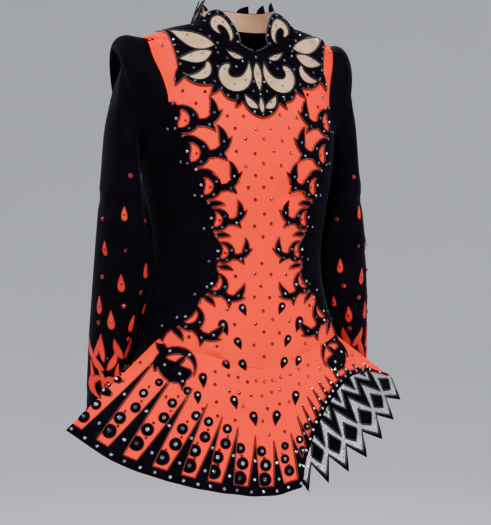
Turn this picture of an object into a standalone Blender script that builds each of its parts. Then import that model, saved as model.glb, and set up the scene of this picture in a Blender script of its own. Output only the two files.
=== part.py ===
"""Irish dance solo dress: a stiffened orange front and fan skirt, black velvet sides, back and sleeves.

The dress keeps the hollow form it has when it is worn. Every piece is a thin wall. The garment's
frame: +Z up, the front faces -Y, the wearer's left is +X, and the origin is in the middle of the
neck, level with the tops of the shoulders. Sizes are in millimetres and angles in degrees;
add_piece turns them into metres. An angle of 0 is the centre front and 90 is the wearer's left.
"""
import math
from bisect import bisect_right
from collections import Counter, namedtuple

import bpy
from mathutils import Vector
from mathutils.geometry import delaunay_2d_cdt

MM = 0.001

# ---------------------------------------------------------------- driving dimensions

CLOTH = 1.4            # wall of the bodice, skirt and sleeves, with their stiffening
SATIN = 0.8            # wall of a piece of nude satin
APPLIQUE = 1.0         # wall of a velvet piece laid on another
SEAM_GAP = 0.3         # space between two pieces at a seam, or between a piece and what lies on it
ROUNDNESS = 2.5        # power of the body's sections; 2 is an ellipse and more is squarer
SHARP_ANGLE = 40       # an edge that turns by more than this is shaded as a sharp one
CHART_CLOSENESS = 1e-5 # points of a cut that lie this share of its chart's size apart are one point

Section = namedtuple("Section", "height half_width front back")
BODY = (
    Section(60, 50, 50, 56),
    Section(25, 49, 50, 56),
    Section(12, 52, 51, 58),
    Section(0, 64, 54, 61),
    Section(-6, 92, 57, 66),
    Section(-13, 118, 60, 71),
    Section(-22, 140.5, 64, 76),
    Section(-50, 146, 71, 82),
    Section(-80, 142, 80, 88),
    Section(-112, 138, 91, 91),
    Section(-140, 139, 98, 92),
    Section(-168, 140, 102, 92),
    Section(-200, 137, 104, 89),
    Section(-240, 131, 101, 82),
    Section(-290, 123, 97, 72),
    Section(-335, 120, 95, 68),
    Section(-380, 127, 96, 77),
    Section(-430, 142, 99, 96),
    Section(-475, 150, 101, 106),
)

ARMHOLE_TOP = -22
ARMHOLE_FOOT = -168
ARMHOLE_STEPS = 7      # stretches of the armhole between its top and its foot, on front and back
PRINCESS_STEP = 4      # the princess seam leaves the armhole at the end of this stretch
Reach = namedtuple("Reach", "height reach")
ARMHOLE = (            # how far from the centre plane the armhole seam runs
    Reach(-22, 140),
    Reach(-50, 135),
    Reach(-80, 125),
    Reach(-112, 120),
    Reach(-145, 128),
    Reach(-168, 140),
)
PRINCESS = (           # the same for the seam between the front and the side panel
    Reach(-111, 120),
    Reach(-170, 108),
    Reach(-235, 84),
    Reach(-290, 69),
    Reach(-335, 65),
    Reach(-380, 88),
    Reach(-410, 115),
    Reach(-437, 137),
)

NECK_DROP = 45         # depth of the front neckline below the sides of the neck
NECK_SPREAD = 80       # angle from the centre front at which the front neckline stops dipping
BACK_NECK_RISE = 5     # how much higher the centre back is
BACK_NECK_POWER = 4
HIP_CENTRE = -472      # the hip seam at the centre front, at the sides and at the centre back
HIP_SIDE = -437
HIP_BACK = -446

SHOULDER_ROWS = 2      # rows of a panel's levels above the top of the armhole
Level = namedtuple("Level", "inner edge power")
FRONT_LEVELS = (       # heights of the front panel's rows at its middle and at its edges
    Level(-NECK_DROP, 0, 2),
    Level(-56, -13, 3.2),
    Level(-63, -22, 2.8),
    Level(-69, None, 2.5),
    Level(-80, None, 2.2),
    Level(-98, None, 2),
    Level(-121, None, 2),
    Level(-172, -170, 2),
    Level(-228, -226, 2),
    Level(-285, -285, 2),
    Level(-335, -332, 2),
    Level(-385, -373, 2),
    Level(-430, -408, 2),
    Level(HIP_CENTRE, HIP_SIDE, 2),
)
BACK_LEVELS = (        # the same for a back panel, at the centre back and at the side
    Level(BACK_NECK_RISE, 0, BACK_NECK_POWER),
    Level(-12, -13, 2),
    Level(-22, -22, 2),
    Level(-30, None, 2),
    Level(-50, None, 2),
    Level(-79, None, 2),
    Level(-112, None, 2),
    Level(-142, None, 2),
    Level(-163, None, 2),
    Level(-172, None, 2),
    Level(-205, -203, 2),
    Level(-245, -245, 2),
    Level(-288, -288, 2),
    Level(-332, -332, 2),
    Level(-376, -373, 2),
    Level(-412, -408, 2),
    Level(HIP_BACK, HIP_SIDE, 2),
)
FRONT_COLUMNS = 8
BACK_COLUMNS = 4
SIDE_COLUMNS = ARMHOLE_STEPS - PRINCESS_STEP
SIDE_EVEN_ROWS = 3     # rows below the armhole over which a side panel's columns even out

Ring = namedtuple("Ring", "outer_x outer_z inner_x inner_z half_depth middle_y")
SLEEVE = (             # the wearer's left sleeve below its seam, ring by ring down to the cuff
    Ring(147, -19, 142.5, -170, 55, 6),
    Ring(160, -17, 144, -173, 56, 10),
    Ring(171, -21, 144.5, -177, 55, 14),
    Ring(178, -33, 144.5, -183, 54, 17),
    Ring(177, -47, 144.5, -191, 52, 19),
    Ring(180, -68, 144, -203, 51, 20),
    Ring(188, -125, 139, -238, 51, 15),
    Ring(194, -210, 131, -285, 52, 10),
    Ring(203, -300, 125, -340, 51, 7),
    Ring(209, -383, 135, -392, 48, 10),
    Ring(212, -440, 149, -436, 43, 15),
    Ring(214, -495, 156, -482, 39, 18),
    Ring(215, -550, 158, -540, 38, 19),
)
StationRing = namedtuple("StationRing", ("station",) + Ring._fields)
RINGS = tuple(StationRing(station, *row) for station, row in enumerate(SLEEVE))
SLEEVE_TUCK = 25       # depth of the gathered notch behind the sleeve head
TUCK_RING = 4.6        # ring that the notch is deepest at, how many rings it spreads over
TUCK_SPREAD = 1.15
TUCK_TURN = 50         # and how far behind the sleeve's outer side it lies
SLEEVE_SIDES = 2 * ARMHOLE_STEPS

FAN_SPREAD = 0.65      # share of the hip seam's angle that grows evenly across the fan
FAN_COLUMNS = 2 * FRONT_COLUMNS
FAN_ROWS = 2
FAN_REACH = 1.2        # the fan's surface runs on below its hem, to carry the points of the zigzag
INVERSE_STEPS = 8      # rounds of Newton's method that turn a place on the hip seam into one on the fan
Hem = namedtuple("Hem", "across x y z")
HEM = (                # the fan's hem, from the wearer's right to the wearer's left
    Hem(-1, -261, -45, -548),
    Hem(-0.75, -208, -95, -585),
    Hem(-0.5, -140, -125, -611),
    Hem(-0.25, -72, -137, -629),
    Hem(0, 0, -140, -638),
    Hem(0.25, 70, -134, -622),
    Hem(0.5, 136, -118, -596),
    Hem(0.75, 197, -84, -557),
    Hem(1, 245, -35, -515),
)


# ---------------------------------------------------------------- tables and the body's form

def smooth(rows, key, column, at):
    """Return a table's column at any place, on a smooth curve through its rows."""
    rows = sorted(rows, key=lambda row: getattr(row, key))
    places = [getattr(row, key) for row in rows]
    values = [getattr(row, column) for row in rows]
    last = len(rows) - 1
    at = min(max(at, places[0]), places[last])
    low = min(max(bisect_right(places, at) - 1, 0), last - 1)

    def slope(row):
        before, after = max(row - 1, 0), min(row + 1, last)
        return (values[after] - values[before]) / (places[after] - places[before])

    span = places[low + 1] - places[low]
    t = (at - places[low]) / span
    return ((2 * t ** 3 - 3 * t ** 2 + 1) * values[low] + (t ** 3 - 2 * t ** 2 + t) * span * slope(low)
            + (3 * t ** 2 - 2 * t ** 3) * values[low + 1] + (t ** 3 - t ** 2) * span * slope(low + 1))


def mix(start, end, share):
    """Return the value part way from start to end."""
    return start + (end - start) * share


def body_point(angle, height):
    """Return the point of the body's form at an angle from the centre front, at a height."""
    half_width = smooth(BODY, "height", "half_width", height)
    turn = math.radians(angle)
    depth = smooth(BODY, "height", "front" if math.cos(turn) > 0 else "back", height)
    across, along = math.sin(turn), -math.cos(turn)
    reach = (abs(across / half_width) ** ROUNDNESS + abs(along / depth) ** ROUNDNESS) ** (-1 / ROUNDNESS)
    return Vector((reach * across, reach * along, height))


def normal_of(surface, u, v):
    """Return the outward normal of a surface whose u runs to the left and whose v runs down."""
    step = 0.01
    along = surface(u + step, v) - surface(u - step, v)
    up = surface(u, v - step) - surface(u, v + step)
    return along.cross(up).normalized()


def body_normal(angle, height):
    """Return the outward normal of the body's form."""
    return normal_of(lambda turn, drop: body_point(turn, -drop), angle, -height)


def angle_at(reach, height, side):
    """Return the angle at which the body's front or back lies a given reach from the centre plane."""
    share = min(reach / smooth(BODY, "height", "half_width", height), 1)
    depth = smooth(BODY, "height", side, height) * (1 - share ** ROUNDNESS) ** (1 / ROUNDNESS)
    turn = math.degrees(math.atan2(reach, depth))
    return turn if side == "front" else 180 - turn


def armhole_height(step):
    """Return the height of the armhole's corner at the end of a stretch, counted from its top."""
    share = (1 - math.cos(math.pi * step / ARMHOLE_STEPS)) / 2
    return mix(ARMHOLE_TOP, ARMHOLE_FOOT, share)


def armhole_angle(height, side):
    """Return the angle of the armhole seam at a height, on the front or the back."""
    if height <= ARMHOLE_FOOT or height >= ARMHOLE_TOP:
        return 90
    return angle_at(smooth(ARMHOLE, "height", "reach", height), height, side)


def neck_height(angle):
    """Return the height of the neckline at an angle from the centre front."""
    if abs(angle) > 90:
        return BACK_NECK_RISE * math.cos(math.radians(angle)) ** BACK_NECK_POWER
    return -NECK_DROP * math.cos(math.radians(90 * min(abs(angle) / NECK_SPREAD, 1))) ** 2


# ---------------------------------------------------------------- panels and what is cut from them

class Panel:
    """A grid of points on a surface, each with its outward normal and its place on a flat chart.

    Rows run down and columns run to the wearer's left round the front, seen from outside.
    """

    def __init__(self, rows, closed=False):
        self.rows = rows
        self.closed = closed
        self.stations = [station for row in rows for station in row]

    def triangles(self):
        """Return the panel's facets as triples of indices into its stations."""
        width = len(self.rows[0])
        facets = []
        for row in range(len(self.rows) - 1):
            for column in range(width if self.closed else width - 1):
                a, d = row * width + column, row * width + (column + 1) % width
                b, c = a + width, d + width
                facets += [(a, b, c), (a, c, d)]
        return facets

    def offset(self, distance):
        """Return the panel's points moved out along their normals."""
        return [point + normal * distance for point, normal, _ in self.stations]

    def with_normals(self, row, normals):
        """Return the same panel with other normals along one of its rows."""
        rows = list(self.rows)
        rows[row] = [(point, normal, chart) for (point, _, chart), normal in zip(rows[row], normals)]
        return Panel(rows, self.closed)

    def mirrored(self):
        """Return the same panel on the other side of the garment."""
        def flip(vector):
            return Vector((-vector.x, vector.y, vector.z))
        rows = [[(flip(point), flip(normal), (-chart[0], chart[1]))
                 for point, normal, chart in reversed(row)] for row in self.rows]
        return Panel(rows, self.closed)


HANDS = (("left", lambda panel: panel), ("right", Panel.mirrored))


def body_panel(rows):
    """Return a panel on the body's form from rows of (angle, height), charted by front elevation."""
    stations = []
    for row in rows:
        stations.append([])
        for angle, height in row:
            point = body_point(angle, height)
            stations[-1].append((point, body_normal(angle, height), (point.x, point.z)))
    return Panel(stations)


def surface_panel(surface, downs, acrosses, closed=False):
    """Return a panel on any surface, charted by its coordinate across and its coordinate down."""
    rows = [[(surface(across, down), normal_of(surface, across, down), (across, -down))
             for across in acrosses] for down in downs]
    return Panel(rows, closed)


def add_piece(name, outer, inner, facets, finish):
    """Make a closed wall between two matching sets of points, as a named object."""
    edges = Counter((facet[i], facet[(i + 1) % 3]) for facet in facets for i in range(3))
    rim = [edge for edge in edges if (edge[1], edge[0]) not in edges]
    back = len(outer)
    faces = list(facets)
    faces += [(c + back, b + back, a + back) for a, b, c in facets]
    for a, b in rim:
        faces += [(a + back, b + back, b), (a + back, b, a)]
    mesh = bpy.data.meshes.new(name)
    mesh.from_pydata([point * MM for point in outer + inner], [], faces)
    mesh.materials.append(finish)
    mesh.shade_smooth()
    mesh.set_sharp_from_angle(angle=math.radians(SHARP_ANGLE))
    piece = bpy.data.objects.new(name, mesh)
    bpy.context.scene.collection.objects.link(piece)
    return piece


def add_wall(name, panel, thickness, finish):
    """Make a whole panel as a wall whose outer face lies on the panel's surface."""
    return add_piece(name, panel.offset(0), panel.offset(-thickness), panel.triangles(), finish)


def inside(point, outline):
    """Return whether a chart point lies inside a closed outline."""
    crossings = 0
    for (x0, y0), (x1, y1) in zip(outline, outline[1:] + outline[:1]):
        if (y0 > point[1]) != (y1 > point[1]):
            crossings += point[0] < x0 + (x1 - x0) * (point[1] - y0) / (y1 - y0)
    return crossings % 2 == 1


def weights_in(point, corners):
    """Return the shares of a triangle's three corners that make a chart point."""
    (x0, y0), (x1, y1), (x2, y2) = corners
    area = (x1 - x0) * (y2 - y0) - (x2 - x0) * (y1 - y0)
    second = ((point[0] - x0) * (y2 - y0) - (x2 - x0) * (point[1] - y0)) / area
    third = ((x1 - x0) * (point[1] - y0) - (point[0] - x0) * (y1 - y0)) / area
    return 1 - second - third, second, third


def is_cloth(cell, places, shapes, windows):
    """Return whether a cell of a triangulation lies inside any shape and outside every window."""
    middle = sum((places[corner] for corner in cell), Vector((0, 0))) / len(cell)
    inside_shape = any(inside(middle, outline) for outline in shapes)
    return inside_shape and not any(inside(middle, outline) for outline in windows)


def border_of(shapes, windows, closeness):
    """Return the points and edges round everything inside any shape and outside every window."""
    points, edges = [], []
    for outline in shapes + windows:
        first, count = len(points), len(outline)
        edges += [(first + index, first + (index + 1) % count) for index in range(count)]
        points += [Vector(place) for place in outline]
    flat, _, cells, *_ = delaunay_2d_cdt(points, edges, [], 0, closeness, False)
    kept = [cell for cell in cells if is_cloth(cell, flat, shapes, windows)]
    sides = Counter(frozenset((cell[k], cell[(k + 1) % 3])) for cell in kept for k in range(3))
    border = [side for side, uses in sides.items() if uses == 1]
    order = {corner: index for index, corner in enumerate(sorted(set().union(*border)))}
    return [flat[corner] for corner in order], [tuple(order[corner] for corner in side) for side in border]


def add_cut(name, panel, shapes, windows, lift, thickness, finish):
    """Make a piece from a panel's own facets: inside any shape, outside every window.

    Shapes and windows are outlines on the panel's chart. The inner face lies at the given lift
    over the panel, so the piece stays parallel to it.
    """
    charts = [chart for _, _, chart in panel.stations]
    facets = panel.triangles()
    closeness = max(abs(value) for chart in charts for value in chart) * CHART_CLOSENESS
    places, border = border_of(shapes, windows, closeness)
    points = [Vector(chart) for chart in charts] + places
    edges = [(a + len(charts), b + len(charts)) for a, b in border]
    flat, _, cells, _, _, origins = delaunay_2d_cdt(points, edges, facets, 0, closeness, True)
    kept, owners = [], {}
    for cell, origin in zip(cells, origins):
        facet = next((face for face in origin if face < len(facets)), None)
        if facet is None or not is_cloth(cell, flat, shapes, windows):
            continue
        kept.append(cell)
        for corner in cell:
            owners.setdefault(corner, facet)
    order = {corner: index for index, corner in enumerate(sorted(owners))}
    outer, inner = [], []
    for corner in order:
        facet = facets[owners[corner]]
        shares = weights_in(flat[corner], [charts[index] for index in facet])
        point, normal = Vector(), Vector()
        for share, index in zip(shares, facet):
            point += panel.stations[index][0] * share
            normal += panel.stations[index][1] * share
        outer.append(point + normal * (lift + thickness))
        inner.append(point + normal * lift)
    kept = [tuple(order[corner] for corner in cell) for cell in kept]
    return add_piece(name, outer, inner, kept, finish)


# ---------------------------------------------------------------- outlines

Arc = namedtuple("Arc", "start end bulge steps")
Leaf = namedtuple("Leaf", "base tip width bend steps")
Stroke = namedtuple("Stroke", "start heading length turn width tightening steps")
HEAD_AT = 0.62         # a comma is widest this share of the way along
HEAD_LENGTH = 0.4      # and its head narrows over a little more than the rest of its length


def arc(start, end, bulge, steps):
    """Return points from start up to, not including, end, on an arc bulging to the left by a share."""
    start, end = Vector(start), Vector(end)
    chord = end - start
    aside = Vector((-chord.y, chord.x)) * bulge
    shares = [step / steps for step in range(steps)]
    return [tuple(start + chord * t + aside * 4 * t * (1 - t)) for t in shares]


def leaf(base, tip, width, bend, steps=4):
    """Return a pointed leaf from its base to its tip, leaning to the left by a share of its length."""
    base, tip = Vector(base), Vector(tip)
    run = tip - base
    aside = Vector((-run.y, run.x))
    half = width / run.length / 2

    def edge(t, hand):
        swell = math.sin(math.pi * t ** 0.8) * half
        return tuple(base + run * t + aside * (bend * 4 * t * (1 - t) + hand * swell))

    return ([edge(step / steps, -1) for step in range(steps)]
            + [edge(1 - step / steps, 1) for step in range(steps)])


def curl(start, heading, length, turn, width, tightening, steps=6):
    """Return a comma: it starts as a point, runs along a bend and ends in a round head."""
    place, left, right = Vector(start), [], []
    for step in range(steps + 1):
        t = step / steps
        aim = math.radians(heading + turn * t ** tightening)
        tail = math.sin(math.pi * min(t, HEAD_AT) / (2 * HEAD_AT))
        head = math.sqrt(max(1 - max(t - HEAD_AT, 0) / HEAD_LENGTH, 0))
        side = Vector((-math.sin(aim), math.cos(aim))) * (width / 2 * tail * head)
        left.append(tuple(place + side))
        right.append(tuple(place - side))
        place += Vector((math.cos(aim), math.sin(aim))) * length / steps
    return left[:1] + right[1:] + left[:0:-1]


def ring(centre, radius, sides):
    """Return a round outline."""
    return [(centre[0] + radius * math.cos(math.tau * side / sides),
             centre[1] + radius * math.sin(math.tau * side / sides)) for side in range(sides)]


def mirrored(outlines):
    """Return the mirror images of outlines on the other side of the centre front."""
    return [[(-across, along) for across, along in reversed(outline)] for outline in outlines]


# ---------------------------------------------------------------- the bodice

def seam_inset(angle, height, hand):
    """Return an angle moved along the section by half a seam's gap."""
    reach = (body_point(angle, height).xy).length
    return angle + hand * math.degrees(SEAM_GAP / 2 / reach)


def edge_heights(levels):
    """Return the heights of a panel's rows at its edge, on the armhole's corners where they have None."""
    return [armhole_height(row - SHOULDER_ROWS) if level.edge is None else level.edge
            for row, level in enumerate(levels)]


def front_edge_angle(height):
    """Return the angle of the front panel's edge: shoulder seam, then armhole, then princess seam."""
    if height > PRINCESS[0].height:
        return armhole_angle(height, "front")
    return angle_at(smooth(PRINCESS, "height", "reach", height), height, "front")


FAN_TURN = front_edge_angle(HIP_SIDE)


def hip_height(angle):
    """Return the height of the hip seam under the front panel."""
    return mix(HIP_SIDE, HIP_CENTRE, math.cos(math.radians(90 * angle / FAN_TURN)) ** 2)


def front_panel():
    """Return the front panel, from the neckline to the hip seam, armhole and princess seams as edges."""
    rows = []
    for index, (level, edge) in enumerate(zip(FRONT_LEVELS, edge_heights(FRONT_LEVELS))):
        shift = {0: -SEAM_GAP / 2, len(FRONT_LEVELS) - 1: SEAM_GAP / 2}.get(index, 0)
        turn = seam_inset(front_edge_angle(edge), edge, -1)
        row = []
        for column in range(FRONT_COLUMNS + 1):
            across = 2 * column / FRONT_COLUMNS - 1
            height = mix(edge, level.inner, math.cos(across * math.pi / 2) ** level.power)
            if index == 0:
                height = neck_height(across * turn)
            row.append((across * turn, height + shift))
        rows.append(row)
    return body_panel(rows)


def back_panel():
    """Return the wearer's left back panel, from the side seam and armhole to the centre back zip."""
    rows = []
    for index, (level, edge) in enumerate(zip(BACK_LEVELS, edge_heights(BACK_LEVELS))):
        shift = {0: -SEAM_GAP / 2, len(BACK_LEVELS) - 1: SEAM_GAP / 2}.get(index, 0)
        start = seam_inset(armhole_angle(edge, "back"), edge, 1)
        end = seam_inset(180, level.inner, -1)
        row = []
        for column in range(BACK_COLUMNS + 1):
            share = column / BACK_COLUMNS
            height = mix(edge, level.inner, math.sin(share * math.pi / 2) ** level.power)
            row.append((mix(start, end, share), height + shift))
        rows.append(row)
    return body_panel(rows)


def side_panel():
    """Return the wearer's left side panel, from the princess seam to the side seam under the arm."""
    steps = range(PRINCESS_STEP, ARMHOLE_STEPS + 1)
    heights = [armhole_height(step) for step in steps]
    angles = [armhole_angle(height, "front") for height in heights]
    fronts = edge_heights(FRONT_LEVELS)[SHOULDER_ROWS + PRINCESS_STEP:]
    sides = edge_heights(BACK_LEVELS)[SHOULDER_ROWS + ARMHOLE_STEPS:]
    rows = []
    for index, (front, side) in enumerate(zip(fronts, sides)):
        start = seam_inset(front_edge_angle(front), front, 1)
        end = seam_inset(90, side, -1)
        evenness = min(index / SIDE_EVEN_ROWS, 1)
        shift = SEAM_GAP / 2 if index == len(fronts) - 1 else 0
        row = []
        for column in range(SIDE_COLUMNS + 1):
            even = column / SIDE_COLUMNS
            drop = mix((heights[column] - heights[0]) / (heights[-1] - heights[0]), even, evenness)
            turn = mix((angles[column] - angles[0]) / (angles[-1] - angles[0]), even, evenness)
            row.append((mix(start, end, turn), mix(front, side, drop) + shift))
        rows.append(row)
    return body_panel(rows)


# ---------------------------------------------------------------- collar

COLLAR_RADIUS = 64     # turns an angle round the neck into a length on the collar's chart
COLLAR_TOP = 37
COLLAR_COLUMNS = 8
COLLAR_END = math.pi * COLLAR_RADIUS
COLLAR_BAND = (        # the band's outline on the chart, from the centre front round to the centre back
    (-1, -1), (COLLAR_END + 1, -1), (COLLAR_END + 1, 26), (88, 25), (70, 14), (22, 9), (-1, 4))
LOBE_AT = (42, 13)     # middle of the round front lobe on the chart
LOBE_RADIUS = 22.5
COLLAR_SCROLL = Stroke((32, 3), 104, 54, -300, 12.5, 1.4, 6)
COLLAR_POINTS = tuple(Leaf((base, 10), (base - 13, 36), 19, -0.1, 2) for base in (102, 136, 170))
COLLAR_LEAVES = tuple(Leaf((base, 4), (base - 8, 26), 10, -0.12, 2) for base in (102, 136))


def collar_surface(across, down):
    """Return a point of the left collar, on a straight slope from its seam up to the neck."""
    angle = math.degrees(across / COLLAR_RADIUS)
    seam = neck_height(angle)
    return body_point(angle, seam).lerp(body_point(angle, seam + COLLAR_TOP), -down / COLLAR_TOP)


def collar_panel():
    """Return the form the left collar is cut from, with the body's normals along its seam."""
    acrosses = [mix(SEAM_GAP / 2, COLLAR_END - SEAM_GAP / 2, column / COLLAR_COLUMNS)
                for column in range(COLLAR_COLUMNS + 1)]
    panel = surface_panel(collar_surface, [-COLLAR_TOP, -SEAM_GAP / 2], acrosses)
    angles = [math.degrees(across / COLLAR_RADIUS) for across in acrosses]
    return panel.with_normals(-1, [body_normal(angle, neck_height(angle)) for angle in angles])


def collar_shapes():
    """Return the band and the round front lobe of the left collar, and the leaf points of its velvet."""
    return [list(COLLAR_BAND), ring(LOBE_AT, LOBE_RADIUS, 12)], [leaf(*point) for point in COLLAR_POINTS]


def collar_windows():
    """Return the windows in the collar's velvet, through which its satin shows."""
    return [curl(*COLLAR_SCROLL)] + [leaf(*window) for window in COLLAR_LEAVES]


# ---------------------------------------------------------------- yoke and side bands

YOKE_EDGE = (          # lobes of the yoke's left edge, from its point up to the shoulder
    Arc((0, -133), (27, -110), -0.16, 2),
    Arc((27, -110), (56, -86), -0.3, 3),
    Arc((56, -86), (107, -70), -0.22, 3),
    Arc((107, -70), (122, -6), 0.04, 1),
)
YOKE_SHOULDER = (124, 20)
YOKE_THORNS = (        # small points that stand out between the lobes
    Stroke((38, -120), 130, 28, -30, 10, 1, 2),
    Stroke((70, -103), 140, 28, -35, 11, 1, 2),
    Stroke((112, -90), 118, 30, -20, 11, 1, 2),
)
YOKE_SATIN = ((0, -130), (14, -125), (23, -116), (29, -108), (46, -103), (57, -86), (84, -87), (97, -81),
              (105, -68), (118, -6), (119, 20))
YOKE_FOCUS = (44, -39) # the yoke's leaves fan out round this place
Frond = namedtuple("Frond", "turn near far width")
FRONDS = (
    Frond(20, 14, 74, 21),
    Frond(-13, 18, 64, 17),
)
YOKE_CURLS = (
    Stroke((11, -55), -88, 84, 268, 21, 1.6, 5),
    Stroke((97, -77), 190, 42, -132, 12.5, 1.6, 4),
)
YOKE_LEAVES = (
    Leaf((5, -120), (23, -101), 11, -0.12, 2),
    Leaf((18, -51), (42, -40), 8, -0.1, 2),
)
YOKE_MIDDLE = (
    Leaf((0, -56), (0, -98), 12, 0, 2),
    Leaf((0, -127), (0, -103), 8, 0, 2),
)


def yoke_shapes():
    """Return the yoke's outline on the front elevation, and the points between its lobes."""
    left = [place for lobe in YOKE_EDGE for place in arc(*lobe)] + [YOKE_SHOULDER]
    thorns = [curl(*thorn) for thorn in YOKE_THORNS]
    return [left + [(-x, z) for x, z in reversed(left[1:])]] + thorns + mirrored(thorns)


def yoke_lining():
    """Return the outline of the yoke's satin, which ends just inside the velvet's edge."""
    return [*YOKE_SATIN, *((-across, height) for across, height in reversed(YOKE_SATIN[1:]))]


def yoke_windows():
    """Return the windows in the yoke's velvet: leaves fanned over each shoulder and curls below."""
    left = [curl(*stroke) for stroke in YOKE_CURLS] + [leaf(*window) for window in YOKE_LEAVES]
    for frond in FRONDS:
        aim = math.radians(frond.turn)
        ends = [(YOKE_FOCUS[0] + reach * math.cos(aim), YOKE_FOCUS[1] + reach * math.sin(aim))
                for reach in (frond.near, frond.far)]
        left.append(leaf(*ends, frond.width, -0.07, 3))
    return left + mirrored(left) + [leaf(*window) for window in YOKE_MIDDLE]


BAND_TOP = -118        # the side bands' motifs run down the princess seam between these heights
BAND_FOOT = -428
BAND_INSET = 12        # how far in from the seam the motifs' middles lie
BAND_TUCK = 15         # how far the stem is drawn past the seam, where the panel's edge cuts it
STEM_WIDTH = 6
STEM_WAVE = 4          # how much the stem's width changes from bend to bend
MOTIF_SIZES = (0.93, 0.97, 0.87, 0.74, 0.7, 0.76, 0.86)
MOTIF_ARCH = Stroke((16, 24), 172, 80, 262, 13, 1.25, 5)
MOTIF_LEAF = ((-12, 1), (-29, 5), (-40, 32), (-45, 16), (-54, 10), (-40, -6), (-36, -20), (-12, -9))


def band_place(inward, height):
    """Return the elevation of a place a given distance in from the wearer's left princess seam."""
    return (smooth(PRINCESS, "height", "reach", height) - inward, height)


def band_motifs():
    """Return the arches and the three-pointed leaves of the left side band, which lean with the seam."""
    drawn = (curl(*MOTIF_ARCH), MOTIF_LEAF)
    pitch, found = (BAND_TOP - BAND_FOOT) / len(MOTIF_SIZES), []
    for index, size in enumerate(MOTIF_SIZES):
        middle = Vector(band_place(BAND_INSET, BAND_TOP - pitch * (index + 0.5)))
        rise = Vector(band_place(0, middle.y + pitch / 2)) - Vector(band_place(0, middle.y - pitch / 2))
        up = rise.normalized() * size
        across = Vector((up.y, -up.x))
        found += [[tuple(middle + across * x + up * z) for x, z in outline] for outline in drawn]
    return found


def band_outline():
    """Return the left side band: a wavy stem on the seam, with an arch and a leaf at every bend."""
    count = 2 * len(MOTIF_SIZES)
    heights = [mix(BAND_TOP + 6, BAND_FOOT - 6, step / count) for step in range(count + 1)]
    inner = [band_place(STEM_WIDTH + (STEM_WAVE if step % 2 else -STEM_WAVE), height)
             for step, height in enumerate(heights)]
    return [[band_place(-BAND_TUCK, height) for height in heights[::2]] + inner[::-1]] + band_motifs()


# ---------------------------------------------------------------- sleeves

def sleeve_ring(turn, station):
    """Return a point of the left sleeve below its seam, turned from the outer side to the front."""
    outer, inner, half_depth, middle = (
        (smooth(RINGS, "station", x, station), smooth(RINGS, "station", z, station))
        if z else smooth(RINGS, "station", x, station)
        for x, z in (("outer_x", "outer_z"), ("inner_x", "inner_z"), ("half_depth", ""), ("middle_y", "")))
    along, aside = math.cos(turn), math.sin(turn)
    centre_x, centre_z = (outer[0] + inner[0]) / 2, (outer[1] + inner[1]) / 2
    tuck = (SLEEVE_TUCK * math.exp(-((station - TUCK_RING) / TUCK_SPREAD) ** 2)
            * max(math.cos(turn + math.radians(TUCK_TURN)), 0))
    return Vector((centre_x + (outer[0] - inner[0]) / 2 * along - tuck, middle - half_depth * aside,
                   centre_z + (outer[1] - inner[1]) / 2 * along))


def sleeve_panel():
    """Return the left sleeve: its first ring is the armhole, and its last is the cuff."""
    seam = []
    for side in range(SLEEVE_SIDES):
        step = min(side, SLEEVE_SIDES - side)
        height = armhole_height(step)
        angle = armhole_angle(height, "back" if side < ARMHOLE_STEPS else "front")
        seam.append(body_point(angle, height) + Vector((SEAM_GAP, 0, 0)))
    rows = [seam]
    for station in range(len(SLEEVE)):
        rows.append([sleeve_ring(-math.tau * side / SLEEVE_SIDES, station) for side in range(SLEEVE_SIDES)])
    stations = []
    for index, row in enumerate(rows):
        above, below = rows[max(index - 1, 0)], rows[min(index + 1, len(rows) - 1)]
        stations.append([])
        for side, point in enumerate(row):
            along = row[(side + 1) % SLEEVE_SIDES] - row[side - 1]
            normal = along.cross(above[side] - below[side]).normalized()
            stations[-1].append((point, normal, (side, index)))
    return Panel(stations, closed=True)


# ---------------------------------------------------------------- skirt

def hip_point(share):
    """Return a point of the front panel's lower edge, from -1 to 1 across, on its own straight facets."""
    column = min(max(int((share + 1) / 2 * FRONT_COLUMNS), 0), FRONT_COLUMNS - 1)
    turns = [mix(-FAN_TURN, FAN_TURN, end / FRONT_COLUMNS) for end in (column, column + 1)]
    start, end = [body_point(turn, hip_height(turn) - SEAM_GAP / 2) for turn in turns]
    return start.lerp(end, (share + 1) / 2 * FRONT_COLUMNS - column)


def hip_share(across):
    """Return the place along the hip seam, from -1 to 1, of a place across the fan."""
    return FAN_SPREAD * across + (1 - FAN_SPREAD) * across ** 3


def across_at(share):
    """Return the place across the fan that meets the hip seam at a place along it."""
    across = share
    for _ in range(INVERSE_STEPS):
        across -= (hip_share(across) - share) / (FAN_SPREAD + 3 * (1 - FAN_SPREAD) * across ** 2)
    return across


def fan_surface(across, down):
    """Return a point of the fan: across runs from -1 to 1, down from 0 at the hip to 1 at the hem."""
    top = hip_point(hip_share(across))
    hem = Vector([smooth(HEM, "across", axis, across) for axis in "xyz"])
    return top + (hem - top) * down


def fan_panel():
    """Return the whole fan, running on below the hem under the zigzag.

    Its top edge has the bodice's columns and normals, so that the two walls meet evenly at the seam.
    """
    acrosses = [across_at(mix(-1, 1, column / FAN_COLUMNS)) for column in range(FAN_COLUMNS + 1)]
    downs = [FAN_REACH * row / FAN_ROWS for row in range(FAN_ROWS + 1)]
    panel = surface_panel(fan_surface, downs, acrosses)
    turns = [FAN_TURN * hip_share(across) for across in acrosses]
    return panel.with_normals(0, [body_normal(turn, hip_height(turn)) for turn in turns])


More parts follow.
